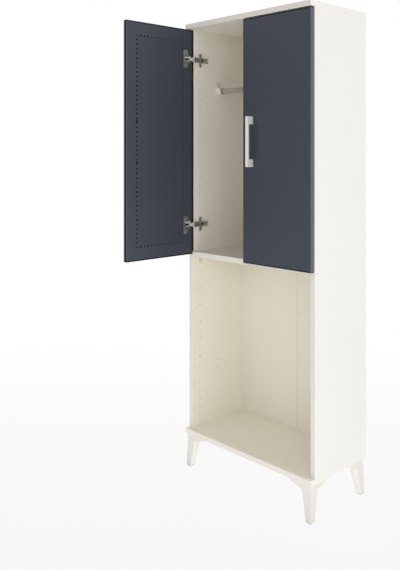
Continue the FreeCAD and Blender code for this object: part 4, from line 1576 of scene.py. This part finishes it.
@dataclass
class Door(Dressing):
    """One door with its handle screws."""

    side: Side

    def build(self) -> None:
        """Dresses the door and builds its screws."""
        name = self.side.value
        self.dress(DOOR_LACQUER.on_door(self.side), name + "_door_panel")
        self.screws(
            name + "_handle_screws", name + "_door", self.side.door_inside, HANDLE_SCREW,
            SLATE_STEEL.material(), Slot.DARK_STEEL,
        )


@dataclass
class Hinges(Dressing):
    """Both concealed hinges of one door."""

    side: Side
    edge: float = 0.25 * MM
    nose_end: float = -123.5 * MM
    cup_rim: float = 0.2 * MM

    def build(self) -> None:
        """Builds plates, arms, links, cups and their screws."""
        name, door = self.side.value, self.side.value + "_door"
        inward, inside = self.side.inward, self.side.door_inside
        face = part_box(door + "_panel")[1][self.side.thick_axis] + self.cup_rim
        cups = name + "_hinge_cups"
        for node, body, metal in (
            (name + "_hinge_plates", "carcass", HINGE_NICKEL.material()),
            (name + "_hinge_arms", "carcass", HINGE_NICKEL.arm(self.nose_end)),
            (cups, door, HINGE_NICKEL.cup(cups, self.side, face)),
        ):
            self.eased(node, body, Slot.HINGE, metal, self.edge)
        links = (name + ending for ending in ("_link_straps", "_arm_pins", "_cup_pins"))
        self.dress(LINK_PAINTED_HIGHLIGHT.material(), *links)
        zinc = SCREW_ZINC.material()
        self.screws(name + "_plate_screws", "carcass", inward, PLATE_SCREW, zinc)
        self.screws(name + "_cup_screws", door, inside, CUP_SCREW, zinc)
        self.screws(
            name + "_arm_cams", "carcass", inward, ARM_CAM, BLACK_STEEL.material(), Slot.DARK_STEEL
        )


# Stage, light and camera


@dataclass
class Stage:
    """Plain white floor and surroundings, with painted shade that makes the floor a little darker
    just in front of the wardrobe.
    """

    half_size: float = 14.0
    floor_colour: Colour = (0.88, 0.88, 0.88)
    white_share: float = 0.93
    # Painted shade on the floor, darker in front of the wardrobe and fading out over the white run
    back: Place = (-0.7086, 0.7056, 0.0)
    front_reach: float = -0.55
    white_run: float = 2.35
    front_white: float = 0.95
    horizon_light: float = 0.98
    zenith_light: float = 0.46

    def build(self) -> None:
        """Builds the floor and the world."""
        shape = bmesh.new()
        bmesh.ops.create_grid(shape, x_segments=1, y_segments=1, size=self.half_size)
        maker = MeshMaker("floor")
        maker.add(shape)
        floor = bpy.data.materials.new("White floor")
        self.shade_floor(fresh_graph(floor))
        maker.finish(floor)
        world = bpy.data.worlds.new("Studio")
        self.shade_world(fresh_graph(world))
        bpy.context.scene.world = world

    def seen(self, graph: Graph) -> Pin:
        """Finds the rays that show the background, directly, in a mirror or through glass.

        Args:
            graph: the floor's or the world's graph.

        Returns:
            1 for such a ray, and 0 for the others.
        """
        path = graph.add("LightPath").outputs
        kinds = ("Camera", "Glossy", "Transmission")
        return graph.largest(*(path[f"Is {kind} Ray"] for kind in kinds))

    def blend(self, graph: Graph, share: Pin, soft: Node, white: Node, output: str) -> None:
        """Gives an output node the white shader by a share, and the soft one by the rest."""
        mixed = graph.run("MixShader", (share, soft.outputs[0], white.outputs[0]))
        graph.fill(graph.add(output), Surface=mixed)

    def shade_floor(self, graph: Graph) -> None:
        """Shades the floor matte white, so that it keeps a faint shadow.

        Args:
            graph: the floor's graph.
        """
        matte = graph.fill(graph.add("BsdfDiffuse"), Color=self.floor_colour)
        run = graph.far(graph.dot(graph.place(), self.back), self.front_reach)
        # Painted shade: the white is a little darker just in front of the wardrobe
        level = graph.spread(run, 0.0, self.white_run, self.front_white)
        white = graph.fill(graph.add("Emission"), Strength=level)
        share = graph.spread(run, 0.0, self.white_run, self.white_share)
        self.blend(graph, graph.product(self.seen(graph), share), matte, white, "OutputMaterial")

    def shade_world(self, graph: Graph) -> None:
        """Makes a world that shows white and lights softly, less from above than from around.

        Args:
            graph: the world's graph.
        """
        height = graph.parts(graph.add("TexCoord").outputs["Generated"])[2]
        light = graph.spread(height, 0.0, 1.0, self.horizon_light, self.zenith_light)
        soft = graph.fill(graph.add("Background"), Color=WHITE, Strength=light)
        white = graph.fill(graph.add("Background"), Color=WHITE)
        self.blend(graph, self.seen(graph), soft, white, "OutputWorld")


@dataclass
class SoftBox:
    """A large rectangular lamp."""

    name: str
    place: Place
    aim: Place
    width: float
    height: float
    power: float

    def build(self) -> None:
        """Adds the lamp to the scene."""
        lamp = bpy.data.lights.new(self.name, "AREA")
        lamp.shape = "RECTANGLE"
        lamp.size = self.width
        lamp.size_y = self.height
        lamp.energy = self.power
        holder = bpy.data.objects.new(self.name, lamp)
        bpy.context.scene.collection.objects.link(holder)
        holder.location = self.place
        run = Vector(self.aim) - Vector(self.place)
        holder.rotation_euler = run.to_track_quat("-Z", "Y").to_euler()
        holder.visible_camera = False


# A broad key beside the wardrobe, a fill from the front, and glows from the floor and under it
LAMPS = (
    SoftBox("Key", (3.6, 0.3, 1.2), (0.2, 0.0, 0.85), 2.8, 2.4, 22.0),
    SoftBox("Front fill", (2.8, -2.6, 1.5), (-0.2, 0.0, 1.2), 1.8, 1.6, 16.0),
    SoftBox("Floor glow", (0.6, -1.62, 0.01), (0.6, -1.62, 2.0), 4.0, 2.8, 17.0),
    SoftBox("Under glow", (0.28, 0.2, 0.008), (0.28, 0.2, 2.0), 1.3, 0.9, 0.75),
)


@dataclass
class PhotoCamera:
    """Camera at the photograph's place, angle and framing, held level."""

    place: Place = (1.6758, -1.8320, 1.1587)
    tilt: float = 90.0
    turn: float = 45.12
    focal_pixels: float = 695.44
    centre_x: float = 239.24
    centre_y: float = 153.965
    image_width: float = 400.0
    image_height: float = 570.0
    sensor: float = 36.0
    clip_start: float = 0.05
    clip_end: float = 60.0

    def build(self) -> None:
        """Adds the camera and makes it the scene's."""
        camera = bpy.data.cameras.new("Photo camera")
        camera.sensor_width = self.sensor
        camera.sensor_fit = "AUTO"
        camera.lens = self.focal_pixels / self.image_height * self.sensor
        camera.shift_x = (self.image_width / 2 - self.centre_x) / self.image_height
        camera.shift_y = (self.centre_y - self.image_height / 2) / self.image_height
        camera.clip_start = self.clip_start
        camera.clip_end = self.clip_end
        holder = bpy.data.objects.new("Photo camera", camera)
        bpy.context.scene.collection.objects.link(holder)
        holder.location = self.place
        holder.rotation_euler = (math.radians(self.tilt), 0.0, math.radians(self.turn))
        bpy.context.scene.camera = holder


def main() -> None:
    """Builds the stage, the camera and every sub-assembly of the wardrobe."""
    logging.basicConfig(level=logging.INFO, format="%(message)s")
    bpy.context.scene.view_settings.view_transform = "Standard"
    PhotoCamera().build()
    Stage().build()
    for lamp in LAMPS:
        lamp.build()
    parts = [Carcass(), Legs(), ClothesRail()]
    parts += [kind(side) for kind in (BowHandle, Door, Hinges) for side in Side]
    for part in parts:
        part.build()


if __name__ == "__main__":
    main()
